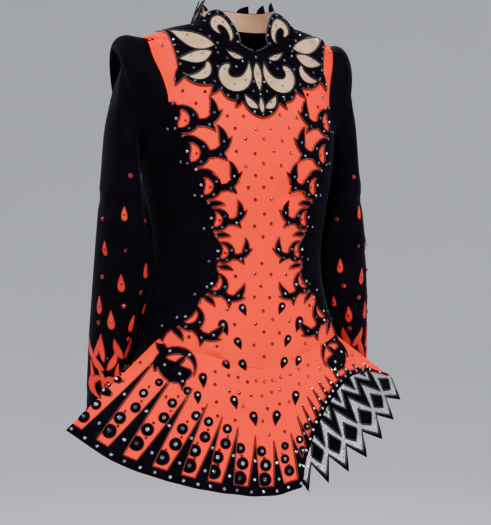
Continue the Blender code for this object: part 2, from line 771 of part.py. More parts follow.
Scoop = namedtuple("Scoop", "across down")
SCOOP = (              # the orange skirt's edge where it is cut away above the zigzag
    Scoop(0.14, 1.0),
    Scoop(0.2, 0.82),
    Scoop(0.28, 0.68),
    Scoop(0.36, 0.595),
    Scoop(0.46, 0.515),
    Scoop(0.57, 0.462),
    Scoop(0.7, 0.425),
    Scoop(0.81, 0.452),
    Scoop(0.94, 0.64),
    Scoop(1.0, 0.87),
)
SCOOP_START = SCOOP[0].across
SCOOP_STEPS = 8


def scoop_down(across):
    """Return how far down the orange skirt reaches at a place across the fan."""
    return 1 if across <= SCOOP_START else smooth(SCOOP, "across", "down", across)


def skirt_edge():
    """Return the orange skirt's lower edge, from the wearer's right to the left."""
    places = [mix(SCOOP_START, 1, step / SCOOP_STEPS) for step in range(SCOOP_STEPS + 1)]
    return [(-1, -1)] + [(across, -scoop_down(across)) for across in places]


def skirt_outline():
    """Return the orange skirt's outline on the fan's chart."""
    return skirt_edge() + [(1, 0), (-1, 0)]


RayRun = namedtuple("RayRun", "first pitch count length ratio share border")
RAYS = (               # pointed rays of velvet: along the hem, then along the scooped edge
    RayRun(-0.914, 0.134, 9, 0.82, 0.885, 0.58, 0.075),
    RayRun(0.25, 0.075, 10, 0.24, 0.88, 0.5, 0.05),
)


def rays_outline():
    """Return the velvet border with its pointed rays, on the fan's chart."""
    upper = [(-1, RAYS[0].border - 1)]
    for run in RAYS:
        for ray in range(run.count):
            middle = run.first + run.pitch * ray
            half = run.pitch * run.share / 2 * run.ratio ** (ray / 3)
            tip = run.border + run.length * run.ratio ** ray
            upper += [(place, depth - scoop_down(place)) for place, depth in
                      ((middle - half, run.border), (middle, tip), (middle + half, run.border))]
    upper.append((1, RAYS[1].border - scoop_down(1)))
    return skirt_edge() + upper[::-1]


TEETH = 7
TOOTH_FIRST = 0.13     # the zigzag's first tooth starts here across the fan
TOOTH_SPACING = 1.1    # power by which the teeth grow wider towards the side
TOOTH_ROOT = 0.86      # depth of the notches between the teeth, and of the teeth's points
TOOTH_POINT = 1.06
TOOTH_LEAN = 0.06
TOOTH_DROP = 0.07      # how much deeper the last tooth hangs than the first
ZIGZAG_TUCK = 0.13     # how far the zigzag runs up behind the orange skirt
SILVER_HEM = 0.035     # width of velvet left showing below the silver, and width of the silver
SILVER_WIDTH = 0.07
SILVER_CLEAR = 0.02    # space between the silver and the orange skirt's edge
SILVER_ROOT = TOOTH_ROOT - 0.6 * SILVER_HEM
SILVER_POINT = TOOTH_POINT - 2 * SILVER_HEM
SILVER_RISE = 1.6      # how many times higher the upper band rises than the lower one hangs
FAR = 2                # a place on the fan's chart well outside the fan


def zigzag_line(root, point):
    """Return a saw-toothed line across the zigzag, from the middle of the skirt to its side."""
    starts = [mix(TOOTH_FIRST, 1, (tooth / TEETH) ** TOOTH_SPACING) for tooth in range(TEETH + 1)]
    line = []
    for tooth in range(TEETH):
        drop = TOOTH_DROP * tooth / TEETH
        tip = mix(starts[tooth], starts[tooth + 1], 0.5 - TOOTH_LEAN)
        line += [(starts[tooth], -root - drop), (tip, -point - drop)]
    return line + [(1, -root - TOOTH_DROP)]


def zigzag_top(place):
    """Return the depth of the zigzag's upper edge, hidden behind the orange skirt."""
    return min(scoop_down(place), TOOTH_ROOT) - ZIGZAG_TUCK


def zigzag_outline():
    """Return the velvet of the zigzag: toothed below, tucked behind the orange skirt above."""
    places = [mix(1, TOOTH_FIRST, step / SCOOP_STEPS) for step in range(SCOOP_STEPS + 1)]
    return zigzag_line(TOOTH_ROOT, TOOTH_POINT) + [(place, -zigzag_top(place)) for place in places]


def silver_band(root, point, low, high):
    """Return a zigzag band of silver between a line's lowered and its raised copy."""
    return (zigzag_line(root, point + low)
            + zigzag_line(root - SILVER_WIDTH, point - high)[::-1])


def silver_outlines():
    """Return the two zigzag bands of silver, which meet in points and leave lozenges of velvet."""
    crest = mix(SILVER_ROOT, SILVER_POINT, -SILVER_RISE)
    return [silver_band(SILVER_ROOT, SILVER_POINT, 0, 1.6 * SILVER_WIDTH),
            silver_band(SILVER_ROOT, crest, 1.1 * SILVER_WIDTH, 1.1 * SILVER_WIDTH)]


def silver_cover():
    """Return the window that keeps the silver clear of the orange skirt."""
    places = [mix(TOOTH_FIRST, 1, step / SCOOP_STEPS) for step in range(SCOOP_STEPS + 1)]
    edge = [(place, -SILVER_CLEAR - scoop_down(place)) for place in places]
    return [(-FAR, FAR), (-FAR, -FAR), (places[0], -FAR), *edge, (FAR, edge[-1][1]), (FAR, FAR)]


Fall = namedtuple("Fall", "turn x y z")
BACK_HEM = (           # the back skirt's hem on the wearer's left, from its front edge round to the back
    Fall(75, 140, -32, -574),
    Fall(90, 146, 10, -580),
    Fall(110, 143, 80, -584),
    Fall(130, 118, 136, -587),
    Fall(155, 62, 174, -589),
    Fall(180, 0, 186, -590),
)


def hip_back_height(turn):
    """Return the height of the hip seam under the side and back panels."""
    return mix(HIP_SIDE, HIP_BACK, math.cos(math.radians(max(turn, 90))) ** 2)


def back_skirt_surface(turn, down):
    """Return a point of the left half of the back skirt, from the hip seam down to the hem."""
    top = body_point(turn, hip_back_height(turn) - SEAM_GAP / 2)
    hem = Vector([smooth(BACK_HEM, "turn", axis, turn) for axis in "xyz"])
    return top + (hem - top) * down


def back_skirt_panel():
    """Return the left half of the back skirt."""
    turns = [mix(FAN_TURN + 0.4, 90, column / SIDE_COLUMNS) for column in range(SIDE_COLUMNS)]
    turns += [mix(90, 179.9, column / BACK_COLUMNS) for column in range(BACK_COLUMNS + 1)]
    panel = surface_panel(back_skirt_surface, (0, 1), turns)
    return panel.with_normals(0, [body_normal(turn, hip_back_height(turn)) for turn in turns])


# ---------------------------------------------------------------- finishes and the build

def finish(name, colour, roughness, metallic=0.0):
    """Return a material of one colour."""
    material = bpy.data.materials.new(name)
    material.use_nodes = True
    shader = material.node_tree.nodes["Principled BSDF"]
    shader.inputs["Base Color"].default_value = (*colour, 1)
    shader.inputs["Roughness"].default_value = roughness
    shader.inputs["Metallic"].default_value = metallic
    return material


def add_bodice(orange, velvet, nude):
    """Make the bodice with its yoke and its side bands."""
    front, side, back = front_panel(), side_panel(), back_panel()
    velvet_lift = SEAM_GAP + SATIN + SEAM_GAP
    add_wall("front_panel", front, CLOTH, orange)
    add_cut("yoke_satin", front, [yoke_lining()], [], SEAM_GAP, SATIN, nude)
    add_cut("yoke_velvet", front, yoke_shapes(), yoke_windows(), velvet_lift, APPLIQUE, velvet)
    add_cut("side_band_left", front, band_outline(), [], SEAM_GAP, APPLIQUE, velvet)
    add_cut("side_band_right", front.mirrored(), mirrored(band_outline()), [], SEAM_GAP, APPLIQUE, velvet)
    for hand, turned in HANDS:
        add_wall("side_panel_" + hand, turned(side), CLOTH, velvet)
        add_wall("back_panel_" + hand, turned(back), CLOTH, velvet)


def add_collar(nude, velvet):
    """Make the stand-up collar, in two halves."""
    panel = collar_panel()
    for hand, turned in HANDS:
        half = turned(panel)
        outlines = (*collar_shapes(), collar_windows())
        if hand == "right":
            outlines = [mirrored(group) for group in outlines]
        shapes, points, windows = outlines
        add_cut("collar_satin_" + hand, half, shapes, [], -SATIN, SATIN, nude)
        add_cut("collar_velvet_" + hand, half, shapes + points, windows, SEAM_GAP, APPLIQUE, velvet)


def add_skirt(orange, velvet, silver):
    """Make the fan skirt, its rays and its zigzag, and the plain skirt behind."""
    fan, behind = fan_panel(), back_skirt_panel()
    under = -CLOTH - SEAM_GAP - CLOTH
    add_cut("skirt_front", fan, [skirt_outline()], [], -CLOTH, CLOTH, orange)
    add_cut("skirt_rays", fan, [rays_outline()], [], SEAM_GAP, APPLIQUE, velvet)
    add_cut("skirt_zigzag", fan, [zigzag_outline()], [], under, CLOTH, velvet)
    on_zigzag = under + CLOTH + SEAM_GAP
    add_cut("zigzag_silver", fan, silver_outlines(), [silver_cover()], on_zigzag, SATIN, silver)
    for hand, turned in HANDS:
        add_wall("skirt_back_" + hand, turned(behind), CLOTH, velvet)


def build():
    """Make every piece of the dress."""
    for thing in list(bpy.data.objects):
        bpy.data.objects.remove(thing)
    orange = finish("orange_stretch_satin", (1.0, 0.09, 0.03), 0.5)
    velvet = finish("black_velvet", (0.004, 0.004, 0.006), 0.9)
    nude = finish("nude_satin", (0.52, 0.34, 0.2), 0.45)
    silver = finish("silver_glitter_cloth", (0.55, 0.55, 0.6), 0.35, 0.6)
    add_bodice(orange, velvet, nude)
    add_collar(nude, velvet)
    sleeve = sleeve_panel()
    for hand, turned in HANDS:
        add_wall("sleeve_" + hand, turned(sleeve), CLOTH, velvet)
    add_skirt(orange, velvet, silver)


build()
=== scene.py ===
"""Irish dance solo dress: an orange stretch-satin front and fan skirt with black velvet round it.

The dress keeps the hollow form it has when it is worn. Frame: +Z up, the front faces -Y, the
wearer's left is +X, and the origin is in the middle of the neck, level with the shoulders. Sizes
are in millimetres and angles in degrees; the mesh makers turn them into metres. An angle of 0 is
the centre front and 90 is the wearer's left. Every form here repeats the frame's cloth at a finer
resolution, and the trim lies on it.
"""
from __future__ import annotations

import logging
import math
import random
from abc import ABC, abstractmethod
from bisect import bisect_right
from collections import Counter
from dataclasses import dataclass, field
from enum import Enum
from typing import Callable, ClassVar, Iterable, Sequence, TypeVar

import bmesh
import bpy
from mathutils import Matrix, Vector
from mathutils.geometry import delaunay_2d_cdt


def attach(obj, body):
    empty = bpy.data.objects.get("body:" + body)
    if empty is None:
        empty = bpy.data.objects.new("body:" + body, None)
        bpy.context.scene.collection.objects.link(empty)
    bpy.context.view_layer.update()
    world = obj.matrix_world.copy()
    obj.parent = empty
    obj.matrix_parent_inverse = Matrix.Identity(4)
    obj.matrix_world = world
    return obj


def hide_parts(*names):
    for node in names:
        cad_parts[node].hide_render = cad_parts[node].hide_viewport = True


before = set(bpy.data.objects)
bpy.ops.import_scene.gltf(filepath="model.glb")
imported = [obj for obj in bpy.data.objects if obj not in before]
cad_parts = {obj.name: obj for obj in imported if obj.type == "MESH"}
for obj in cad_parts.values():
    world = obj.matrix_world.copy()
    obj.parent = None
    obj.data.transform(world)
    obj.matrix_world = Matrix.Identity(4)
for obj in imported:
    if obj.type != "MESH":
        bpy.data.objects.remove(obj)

LOG = logging.getLogger("dance_dress")
MM = 0.001
BODY = "root"

CLOTH = 1.4            # wall of the bodice, skirt and sleeves, with their stiffening
SATIN = 0.8            # wall of a piece of nude or silver cloth
APPLIQUE = 1.0         # wall of a velvet piece laid on another
SEAM_GAP = 0.3         # space between two pieces at a seam, or between a piece and what lies on it
ON_BARE = 0.05         # height of a crystal glued straight to the orange cloth
ON_CLOTH = SEAM_GAP + APPLIQUE
ON_YOKE = 2 * SEAM_GAP + SATIN + APPLIQUE
SHOULDER_ROWS = 2      # levels of a panel above the top of the armhole
COMMA_WAIST = 0.62     # share of a comma's length at which it is widest
COMMA_HEAD = 0.4       # share of its length over which its head would close
DROP_HEAD = 0.3        # share of a drop's length that its round head takes

Chart = tuple[float, float]
Outline = list[Chart]
Facet = tuple[int, int, int]
Row = TypeVar("Row")
Test = Callable[[Chart], bool]
Triple = tuple[float, float, float]
Piece = bpy.types.Object
Socket = bpy.types.NodeSocket


class Slot(Enum):
    """The record's material slots."""

    ORANGE = "orange_stretch_satin"
    VELVET = "black_velvet"
    NUDE = "nude_satin"
    SILVER = "silver_glitter_cloth"


class Hand(Enum):
    """Which side of the wearer a piece is on; the value is the sign of its X."""

    LEFT = 1
    RIGHT = -1

    @property
    def word(self) -> str:
        """Return the side as it is written in a node's name."""
        return self.name.lower()


# ---------------------------------------------------------------- numbers and outlines

def rows_of(kind: Callable[..., Row], *rows: Sequence[object]) -> tuple[Row, ...]:
    """Return rows of one kind, each given by its columns in order."""
    return tuple(kind(*row) for row in rows)


def mix(start: float, end: float, share: float) -> float:
    """Return the value part way from start to end."""
    return start + (end - start) * share


def shares(count: int) -> list[float]:
    """Return evenly spaced shares from 0 to 1, both included."""
    return [step / count for step in range(count + 1)]


class Table:
    """Rows under named columns, read as smooth curves over the first column."""

    def __init__(self, columns: str, *rows: Sequence[float]) -> None:
        """Work out every column's slopes.

        Args:
            columns: The columns' names.
            rows: The rows, in any order.
        """
        self.columns = {name: index for index, name in enumerate(columns.split())}
        self.rows = sorted(rows)
        self.places = [row[0] for row in self.rows]
        ends = zip(self.rows[:1] + self.rows, self.rows[1:] + self.rows[-1:])
        self.slopes = [[(b - a) / (after[0] - before[0]) for a, b in zip(before, after)]
                       for before, after in ends]

    def at(self, column: str, place: float) -> float:
        """Return a column's value.

        Args:
            column: The column's name.
            place: Place along the first column; beyond the table the end value holds.

        Returns:
            The value there.
        """
        index = self.columns[column]
        place = min(max(place, self.places[0]), self.places[-1])
        low = min(max(bisect_right(self.places, place) - 1, 0), len(self.places) - 2)
        span = self.places[low + 1] - self.places[low]
        t = (place - self.places[low]) / span
        return ((2 * t ** 3 - 3 * t ** 2 + 1) * self.rows[low][index]
                + (t ** 3 - 2 * t ** 2 + t) * span * self.slopes[low][index]
                + (3 * t ** 2 - 2 * t ** 3) * self.rows[low + 1][index]
                + (t ** 3 - t ** 2) * span * self.slopes[low + 1][index])


class Shape:
    """A closed outline with its box, so that most places are told apart quickly."""

    def __init__(self, outline: Outline) -> None:
        """Keep the outline and work out its box."""
        self.outline = outline
        self.low = (min(x for x, _ in outline), min(y for _, y in outline))
        self.high = (max(x for x, _ in outline), max(y for _, y in outline))

    def holds(self, place: Chart) -> bool:
        """Return whether a place lies inside the outline.

        Args:
            place: The place.

        Returns:
            True inside, where a line to one side crosses the outline an odd number of times.
        """
        if not all(low <= value <= high for low, value, high in zip(self.low, place, self.high)):
            return False
        crossings = 0
        for (x0, y0), (x1, y1) in zip(self.outline, self.outline[1:] + self.outline[:1]):
            if (y0 > place[1]) != (y1 > place[1]):
                crossings += place[0] < x0 + (x1 - x0) * (place[1] - y0) / (y1 - y0)
        return crossings % 2 == 1


def arc(start: Chart, end: Chart, bulge: float, steps: int = 8) -> Outline:
    """Return points from start up to, not including, end, on an arc that bulges to the left.

    Args:
        start: First point.
        end: Point that the arc leads to.
        bulge: Height of the arc as a share of its chord.
        steps: Number of points.

    Returns:
        The points.
    """
    dx, dy = end[0] - start[0], end[1] - start[1]
    lifts = [(t, bulge * 4 * t * (1 - t)) for t in shares(steps)[:-1]]
    return [(start[0] + dx * t - dy * lift, start[1] + dy * t + dx * lift) for t, lift in lifts]


def leaf(base: Chart, tip: Chart, width: float, bend: float, steps: int = 10) -> Outline:
    """Return a pointed leaf.

    Args:
        base: Where the leaf starts.
        tip: Its far point.
        width: Its greatest width.
        bend: How far it leans to the left, as a share of its length.
        steps: Points along each edge.

    Returns:
        The leaf's outline.
    """
    origin, run = Vector(base), Vector(tip) - Vector(base)
    aside = Vector((-run.y, run.x))
    half = width / run.length / 2

    def edge(t: float, hand: int) -> Chart:
        """Return a point of the right edge, hand -1, or the left edge, hand 1."""
        swell = math.sin(math.pi * t ** 0.8) * half
        return tuple(origin + run * t + aside * (bend * 4 * t * (1 - t) + hand * swell))

    return ([edge(step / steps, -1) for step in range(steps)]
            + [edge(1 - step / steps, 1) for step in range(steps)])


def comma_swell(t: float) -> float:
    """Return how wide a comma is: pointed at its start, widest at COMMA_WAIST, round at its end.

    Args:
        t: Share of its length.

    Returns:
        Its half width there, as a share of the greatest half width.
    """
    tail = math.sin(math.pi / 2 * min(t, COMMA_WAIST) / COMMA_WAIST)
    return tail * math.sqrt(max(1 - max(t - COMMA_WAIST, 0) / COMMA_HEAD, 0))


def curl(start: Chart, heading: float, length: float, turn: float, width: float, tightening: float = 1.6,
         steps: int = 18) -> Outline:
    """Return a comma that starts as a point, runs along a tightening bend and ends in a round head.

    Args:
        start: The pointed end.
        heading: Direction that it leaves in.
        length: Length along its spine.
        turn: How far its direction turns, to the left where it is positive.
        width: Its greatest width.
        tightening: Power by which the bend tightens towards the head; 1 is even.
        steps: Points along each edge.

    Returns:
        The curl's outline.
    """
    place, left, right = Vector(start), [], []
    for t in shares(steps):
        aim = math.radians(heading + turn * t ** tightening)
        side = Vector((-math.sin(aim), math.cos(aim))) * (width / 2 * comma_swell(t))
        left.append(tuple(place + side))
        right.append(tuple(place - side))
        place += Vector((math.cos(aim), math.sin(aim))) * length / steps
    return left[:1] + right[1:] + left[:0:-1]


def toward(turn: float, reach: float, start: Chart = (0, 0)) -> Chart:
    """Return the place at a direction and a distance from a start."""
    aim = math.radians(turn)
    return (start[0] + reach * math.cos(aim), start[1] + reach * math.sin(aim))


def ring(centre: Chart, radius: float, sides: int = 32) -> Outline:
    """Return a round outline."""
    return [(centre[0] + radius * math.cos(math.tau * side / sides),
             centre[1] + radius * math.sin(math.tau * side / sides)) for side in range(sides)]


def mirrored(outlines: list[Outline]) -> list[Outline]:
    """Return the mirror images of outlines on the other side of the centre front."""
    return [[(-across, up) for across, up in reversed(outline)] for outline in outlines]


@dataclass(frozen=True)
class Stroke:
    """A comma of an ornament, from its pointed end round to its head, about the ornament's middle."""

    across: float
    up: float
    heading: float
    length: float
    turn: float
    width: float
    tightening: float = 1.0

    def outline(self, middle: Chart = (0, 0), tilt: float = 0, size: float = 1) -> Outline:
        """Return the stroke's outline.

        Args:
            middle: Where the ornament's middle is.
            tilt: How far the ornament is turned to the left.
            size: How many times larger than drawn it is.

        Returns:
            The outline.
        """
        aim = math.radians(tilt)
        x = middle[0] + size * (self.across * math.cos(aim) - self.up * math.sin(aim))
        z = middle[1] + size * (self.across * math.sin(aim) + self.up * math.cos(aim))
        return curl((x, z), self.heading + tilt, self.length * size, self.turn, self.width * size,
                    self.tightening)

    def spine(self, share: float, middle: Chart = (0, 0), tilt: float = 0, size: float = 1) -> Chart:
        """Return a place along the stroke's middle.

        Args:
            share: How far along it is.
            middle: Where the ornament's middle is.
            tilt: How far the ornament is turned to the left.
            size: How many times larger than drawn it is.

        Returns:
            The place.
        """
        outline = self.outline(middle, tilt, size)
        step = max(round(share * len(outline) / 2), 1)
        near, far = outline[step], outline[-step]
        return ((near[0] + far[0]) / 2, (near[1] + far[1]) / 2)


# ---------------------------------------------------------------- cloth surfaces

@dataclass(frozen=True)
class Spot:
    """A point of a cloth surface, with its outward normal and its place on the chart."""

    point: Vector
    normal: Vector
    chart: Chart

    def raised(self, height: float) -> Vector:
        """Return the point moved out from the cloth."""
        return self.point + self.normal * height


@dataclass(frozen=True)
class Crease:
    """A soft fold: a trough with a low ridge beside it, fading out at both ends."""

    start: Chart
    end: Chart
    depth: float
    width: float = 5.0
    bow: float = 0.0
    ridge_height: ClassVar[float] = 0.55    # as a share of the depth
    ridge_offset: ClassVar[float] = 1.8     # from the trough, in widths
    ridge_width: ClassVar[float] = 1.2      # in widths of the trough
    fade: ClassVar[float] = 1.3             # power by which both fade towards the ends

    def relief(self, across: float, up: float) -> float:
        """Return how far the crease moves the cloth out.

        Args:
            across: Place across, in millimetres.
            up: Height, in millimetres.

        Returns:
            The distance; negative in the trough.
        """
        run_x, run_y = self.end[0] - self.start[0], self.end[1] - self.start[1]
        length = math.hypot(run_x, run_y)
        off_x, off_y = across - self.start[0], up - self.start[1]
        t = (off_x * run_x + off_y * run_y) / length ** 2
        if not 0 < t < 1:
            return 0.0
        aside = (run_x * off_y - run_y * off_x) / length - self.bow * 4 * t * (1 - t)
        if abs(aside) > 4 * self.width:
            return 0.0
        trough = math.exp(-(aside / self.width) ** 2)
        past = (aside - self.ridge_offset * self.width) / (self.ridge_width * self.width)
        ridge = self.ridge_height * math.exp(-past ** 2)
        return self.depth * math.sin(math.pi * t) ** self.fade * (ridge - trough)


def total_relief(creases: Iterable[Crease], across: float, up: float) -> float:
    """Return how far a group of creases moves the cloth out at a place."""
    return sum(crease.relief(across, up) for crease in creases)


class Surface(ABC):
    """A cloth's form, charted by a place across, to the wearer's left, and a place up."""

    step = 0.05

    @abstractmethod
    def point(self, across: float, up: float) -> Vector:
        """Return a point of the form, in millimetres."""

    def slopes(self, across: float, up: float) -> tuple[Vector, Vector]:
        """Return how the point moves with each of the chart's coordinates.

        Args:
            across: Place across on the chart.
            up: Place up on the chart.

        Returns:
            The two tangents.
        """
        step = self.step
        return ((self.point(across + step, up) - self.point(across - step, up)) / (2 * step),
                (self.point(across, up + step) - self.point(across, up - step)) / (2 * step))

    def spot(self, across: float, up: float) -> Spot:
        """Return the point at a chart place, with its normal."""
        along, rise = self.slopes(across, up)
        return Spot(self.point(across, up), along.cross(rise).normalized(), (across, up))

    def axes(self, place: Chart) -> tuple[Vector, Vector]:
        """Return the directions of real distances across and up round a place."""
        along, rise = self.slopes(*place)
        left = along.normalized()
        return left, along.cross(rise).normalized().cross(left)

    def upright(self, place: Chart) -> float:
        """Return the direction on the cloth, round a place, that points straight up."""
        left, above = self.axes(place)
        return math.degrees(math.atan2(above.z, left.z))

    def local(self, place: Chart) -> Callable[[float, float], Chart]:
        """Return a map from real distances round a place to the chart.

        Args:
            place: The chart place that the distances start from.

        Returns:
            A function of the distance across and the distance up, in millimetres.
        """
        along, rise = self.slopes(*place)
        left, above = self.axes(place)
        a, b, c, d = along.dot(left), rise.dot(left), along.dot(above), rise.dot(above)
        size = a * d - b * c

        def to_chart(across: float, up: float) -> Chart:
            """Return the chart place at a real distance across and up."""
            return (place[0] + (d * across - b * up) / size, place[1] + (a * up - c * across) / size)

        return to_chart


class Mirrored(Surface):
    """The mirror image of another surface, for the wearer's other side."""

    def __init__(self, other: Surface) -> None:
        """Keep the surface that is mirrored."""
        self.other = other
        self.step = other.step

    def point(self, across: float, up: float) -> Vector:
        """Return the mirrored point."""
        point = self.other.point(-across, up)
        return Vector((-point.x, point.y, point.z))


def handed(surface: Surface, hand: Hand) -> Surface:
    """Return a left-hand surface as it is, or mirrored for the right hand."""
    return surface if hand is Hand.LEFT else Mirrored(surface)


class Grid:
    """Rows of spots on a surface, from the top down and from the wearer's right to the left."""

    def __init__(self, rows: list[list[Spot]], closed: bool = False) -> None:
        """Keep the rows.

        Args:
            rows: The spots, row by row.
            closed: Whether each row runs on into its own start.
        """
        self.rows = rows
        self.closed = closed
        self.spots = [spot for row in rows for spot in row]

    @classmethod
    def over(cls, surface: Surface, ups: Sequence[float], acrosses: Sequence[float]) -> Grid:
        """Return a grid over a surface's chart."""
        return cls([[surface.spot(across, up) for across in acrosses] for up in ups])

    def facets(self) -> list[Facet]:
        """Return the grid's triangles.

        Returns:
            Two for every cell, as indices into its spots.
        """
        width = len(self.rows[0])
        found = []
        for row in range(len(self.rows) - 1):
            for column in range(width if self.closed else width - 1):
                a, d = row * width + column, row * width + (column + 1) % width
                b, c = a + width, d + width
                found += [(a, b, c), (a, c, d)]
        return found

    def raised(self, height: float) -> list[Vector]:
        """Return the grid's points moved out along their normals."""
        return [spot.raised(height) for spot in self.spots]

    def mirrored(self) -> Grid:
        """Return the same grid on the wearer's other side.

        Returns:
            The mirror image, with its columns turned round so that it still faces out.
        """
        def flip(vector: Vector) -> Vector:
            """Return a vector with its X turned round."""
            return Vector((-vector.x, vector.y, vector.z))
        rows = [[Spot(flip(s.point), flip(s.normal), (-s.chart[0], s.chart[1])) for s in reversed(row)]
                for row in self.rows]
        return Grid(rows, self.closed)

    def handed(self, hand: Hand) -> Grid:
        """Return a left-hand grid as it is, or mirrored for the right hand."""
        return self if hand is Hand.LEFT else self.mirrored()

    def border(self) -> Shape:
        """Return the outline of the whole grid.

        Returns:
            Its four edges on the chart.
        """
        top = [spot.chart for spot in self.rows[0]]
        foot = [spot.chart for spot in reversed(self.rows[-1])]
        sides = [row[-1].chart for row in self.rows[1:-1]]
        return Shape(top + sides + foot + [row[0].chart for row in reversed(self.rows[1:-1])])


# ---------------------------------------------------------------- meshes

class Stock:
    """Points and faces gathered for one mesh, in millimetres."""

    def __init__(self) -> None:
        """Start empty."""
        self.points: list[Vector] = []
        self.faces: list[tuple[int, ...]] = []

    def add(self, points: Sequence[Vector], faces: Iterable[tuple[int, ...]]) -> None:
        """Add a part of the mesh.

        Args:
            points: Its points.
            faces: Its faces, as indices into those points.
        """
        start = len(self.points)
        self.points += points
        self.faces += [tuple(start + corner for corner in face) for face in faces]

    def strip(self, rows: Sequence[Sequence[Vector]], closed: bool = False) -> None:
        """Add a closed tube or ribbon whose rows each run round its section.

        Args:
            rows: The sections, each a ring of points.
            closed: Whether the last section joins the first.
        """
        sides, count = len(rows[0]), len(rows)
        faces: list[tuple[int, ...]] = []
        for row in range(count if closed else count - 1):
            for side in range(sides):
                a, b = row * sides + side, row * sides + (side + 1) % sides
                c, d = (b + sides) % (count * sides), (a + sides) % (count * sides)
                faces.append((a, b, c, d))
        if not closed:
            faces += [tuple(range(sides))[::-1], tuple(range((count - 1) * sides, count * sides))]
        self.add([point for row in rows for point in row], faces)

    def mesh_object(self, name: str, smooth: bool = True, sharp: float = 40) -> Piece:
        """Return the gathered mesh as an object in the scene.

        Args:
            name: The object's name.
            smooth: Whether it is shaded smoothly.
            sharp: Angle above which an edge stays sharp.

        Returns:
            The object.
        """
        mesh = bpy.data.meshes.new(name)
        mesh.from_pydata([point * MM for point in self.points], [], self.faces)
        shell = bmesh.new()
        shell.from_mesh(mesh)
        bmesh.ops.recalc_face_normals(shell, faces=shell.faces)
        shell.to_mesh(mesh)
        shell.free()
        if smooth:
            mesh.shade_smooth()
            mesh.set_sharp_from_angle(angle=math.radians(sharp))
        piece = bpy.data.objects.new(name, mesh)
        bpy.context.scene.collection.objects.link(piece)
        return piece


def wall(name: str, outer: list[Vector], inner: list[Vector], facets: Sequence[Facet]) -> Piece:
    """Make a closed wall between two matching sets of points.

    Args:
        name: The object's name.
        outer: Points of the outer face.
        inner: Points of the inner face, in the same order.
        facets: Triangles of the outer face.

    Returns:
        The object.
    """
    edges = Counter((facet[i], facet[(i + 1) % 3]) for facet in facets for i in range(3))
    back = len(outer)
    faces: list[tuple[int, ...]] = list(facets)
    faces += [(c + back, b + back, a + back) for a, b, c in facets]
    faces += [(a + back, b + back, b, a) for a, b in edges if (b, a) not in edges]
    stock = Stock()
    stock.add(outer + inner, faces)
    return stock.mesh_object(name)


def grid_wall(name: str, grid: Grid, thickness: float, lift: float = 0.0) -> Piece:
    """Make a whole grid into a wall."""
    return wall(name, grid.raised(lift), grid.raised(lift - thickness), grid.facets())


def weights_in(place: Chart, corners: Sequence[Chart]) -> Triple:
    """Return the shares of a triangle's corners that make a chart place.

    Args:
        place: The place.
        corners: The three corners.

    Returns:
        The three shares.
    """
    (x0, y0), (x1, y1), (x2, y2) = corners
    area = (x1 - x0) * (y2 - y0) - (x2 - x0) * (y1 - y0)
    second = ((place[0] - x0) * (y2 - y0) - (x2 - x0) * (place[1] - y0)) / area
    third = ((x1 - x0) * (place[1] - y0) - (place[0] - x0) * (y1 - y0)) / area
    return 1 - second - third, second, third


def cut(name: str, grid: Grid, shapes: list[Outline], windows: list[Outline],
        lift: float, thickness: float) -> Piece:
    """Make a piece from a grid's own facets: inside any shape and outside every window.

    Args:
        name: The object's name.
        grid: The cloth it is cut from.
        shapes: Outlines that the piece fills.
        windows: Outlines that are cut out of it.
        lift: Height of its inner face over the grid.
        thickness: Its thickness.

    Returns:
        The object.
    """
    charts = [spot.chart for spot in grid.spots]
    facets = grid.facets()
    points, edges = [Vector(chart) for chart in charts], []
    for outline in shapes + windows:
        first, count = len(points), len(outline)
        edges += [(first + corner, first + (corner + 1) % count) for corner in range(count)]
        points += [Vector(place) for place in outline]
    closeness = max(abs(value) for chart in charts for value in chart) * 1e-5
    flat, _, cells, _, _, origins = delaunay_2d_cdt(points, edges, facets, 0, closeness, True)
    filled, empty = [Shape(outline) for outline in shapes], [Shape(outline) for outline in windows]
    kept, owners = [], {}
    for cell, origin in zip(cells, origins):
        facet = next((face for face in origin if face < len(facets)), None)
        middle = tuple(sum((flat[corner] for corner in cell), Vector((0, 0))) / len(cell))
        if facet is None or not any(shape.holds(middle) for shape in filled):
            continue
        if any(shape.holds(middle) for shape in empty):
            continue
        kept.append(tuple(cell))
        for corner in cell:
            owners.setdefault(corner, facet)
    order = {corner: index for index, corner in enumerate(sorted(owners))}
    outer, inner = [], []
    for corner in sorted(owners):
        facet = facets[owners[corner]]
        point, normal = Vector(), Vector()
        for share, index in zip(weights_in(flat[corner], [charts[i] for i in facet]), facet):
            point += grid.spots[index].point * share
            normal += grid.spots[index].normal * share
        outer.append(point + normal * (lift + thickness))
        inner.append(point + normal * lift)
    return wall(name, outer, inner, [tuple(order[corner] for corner in cell) for cell in kept])


# ---------------------------------------------------------------- trim that lies on a surface

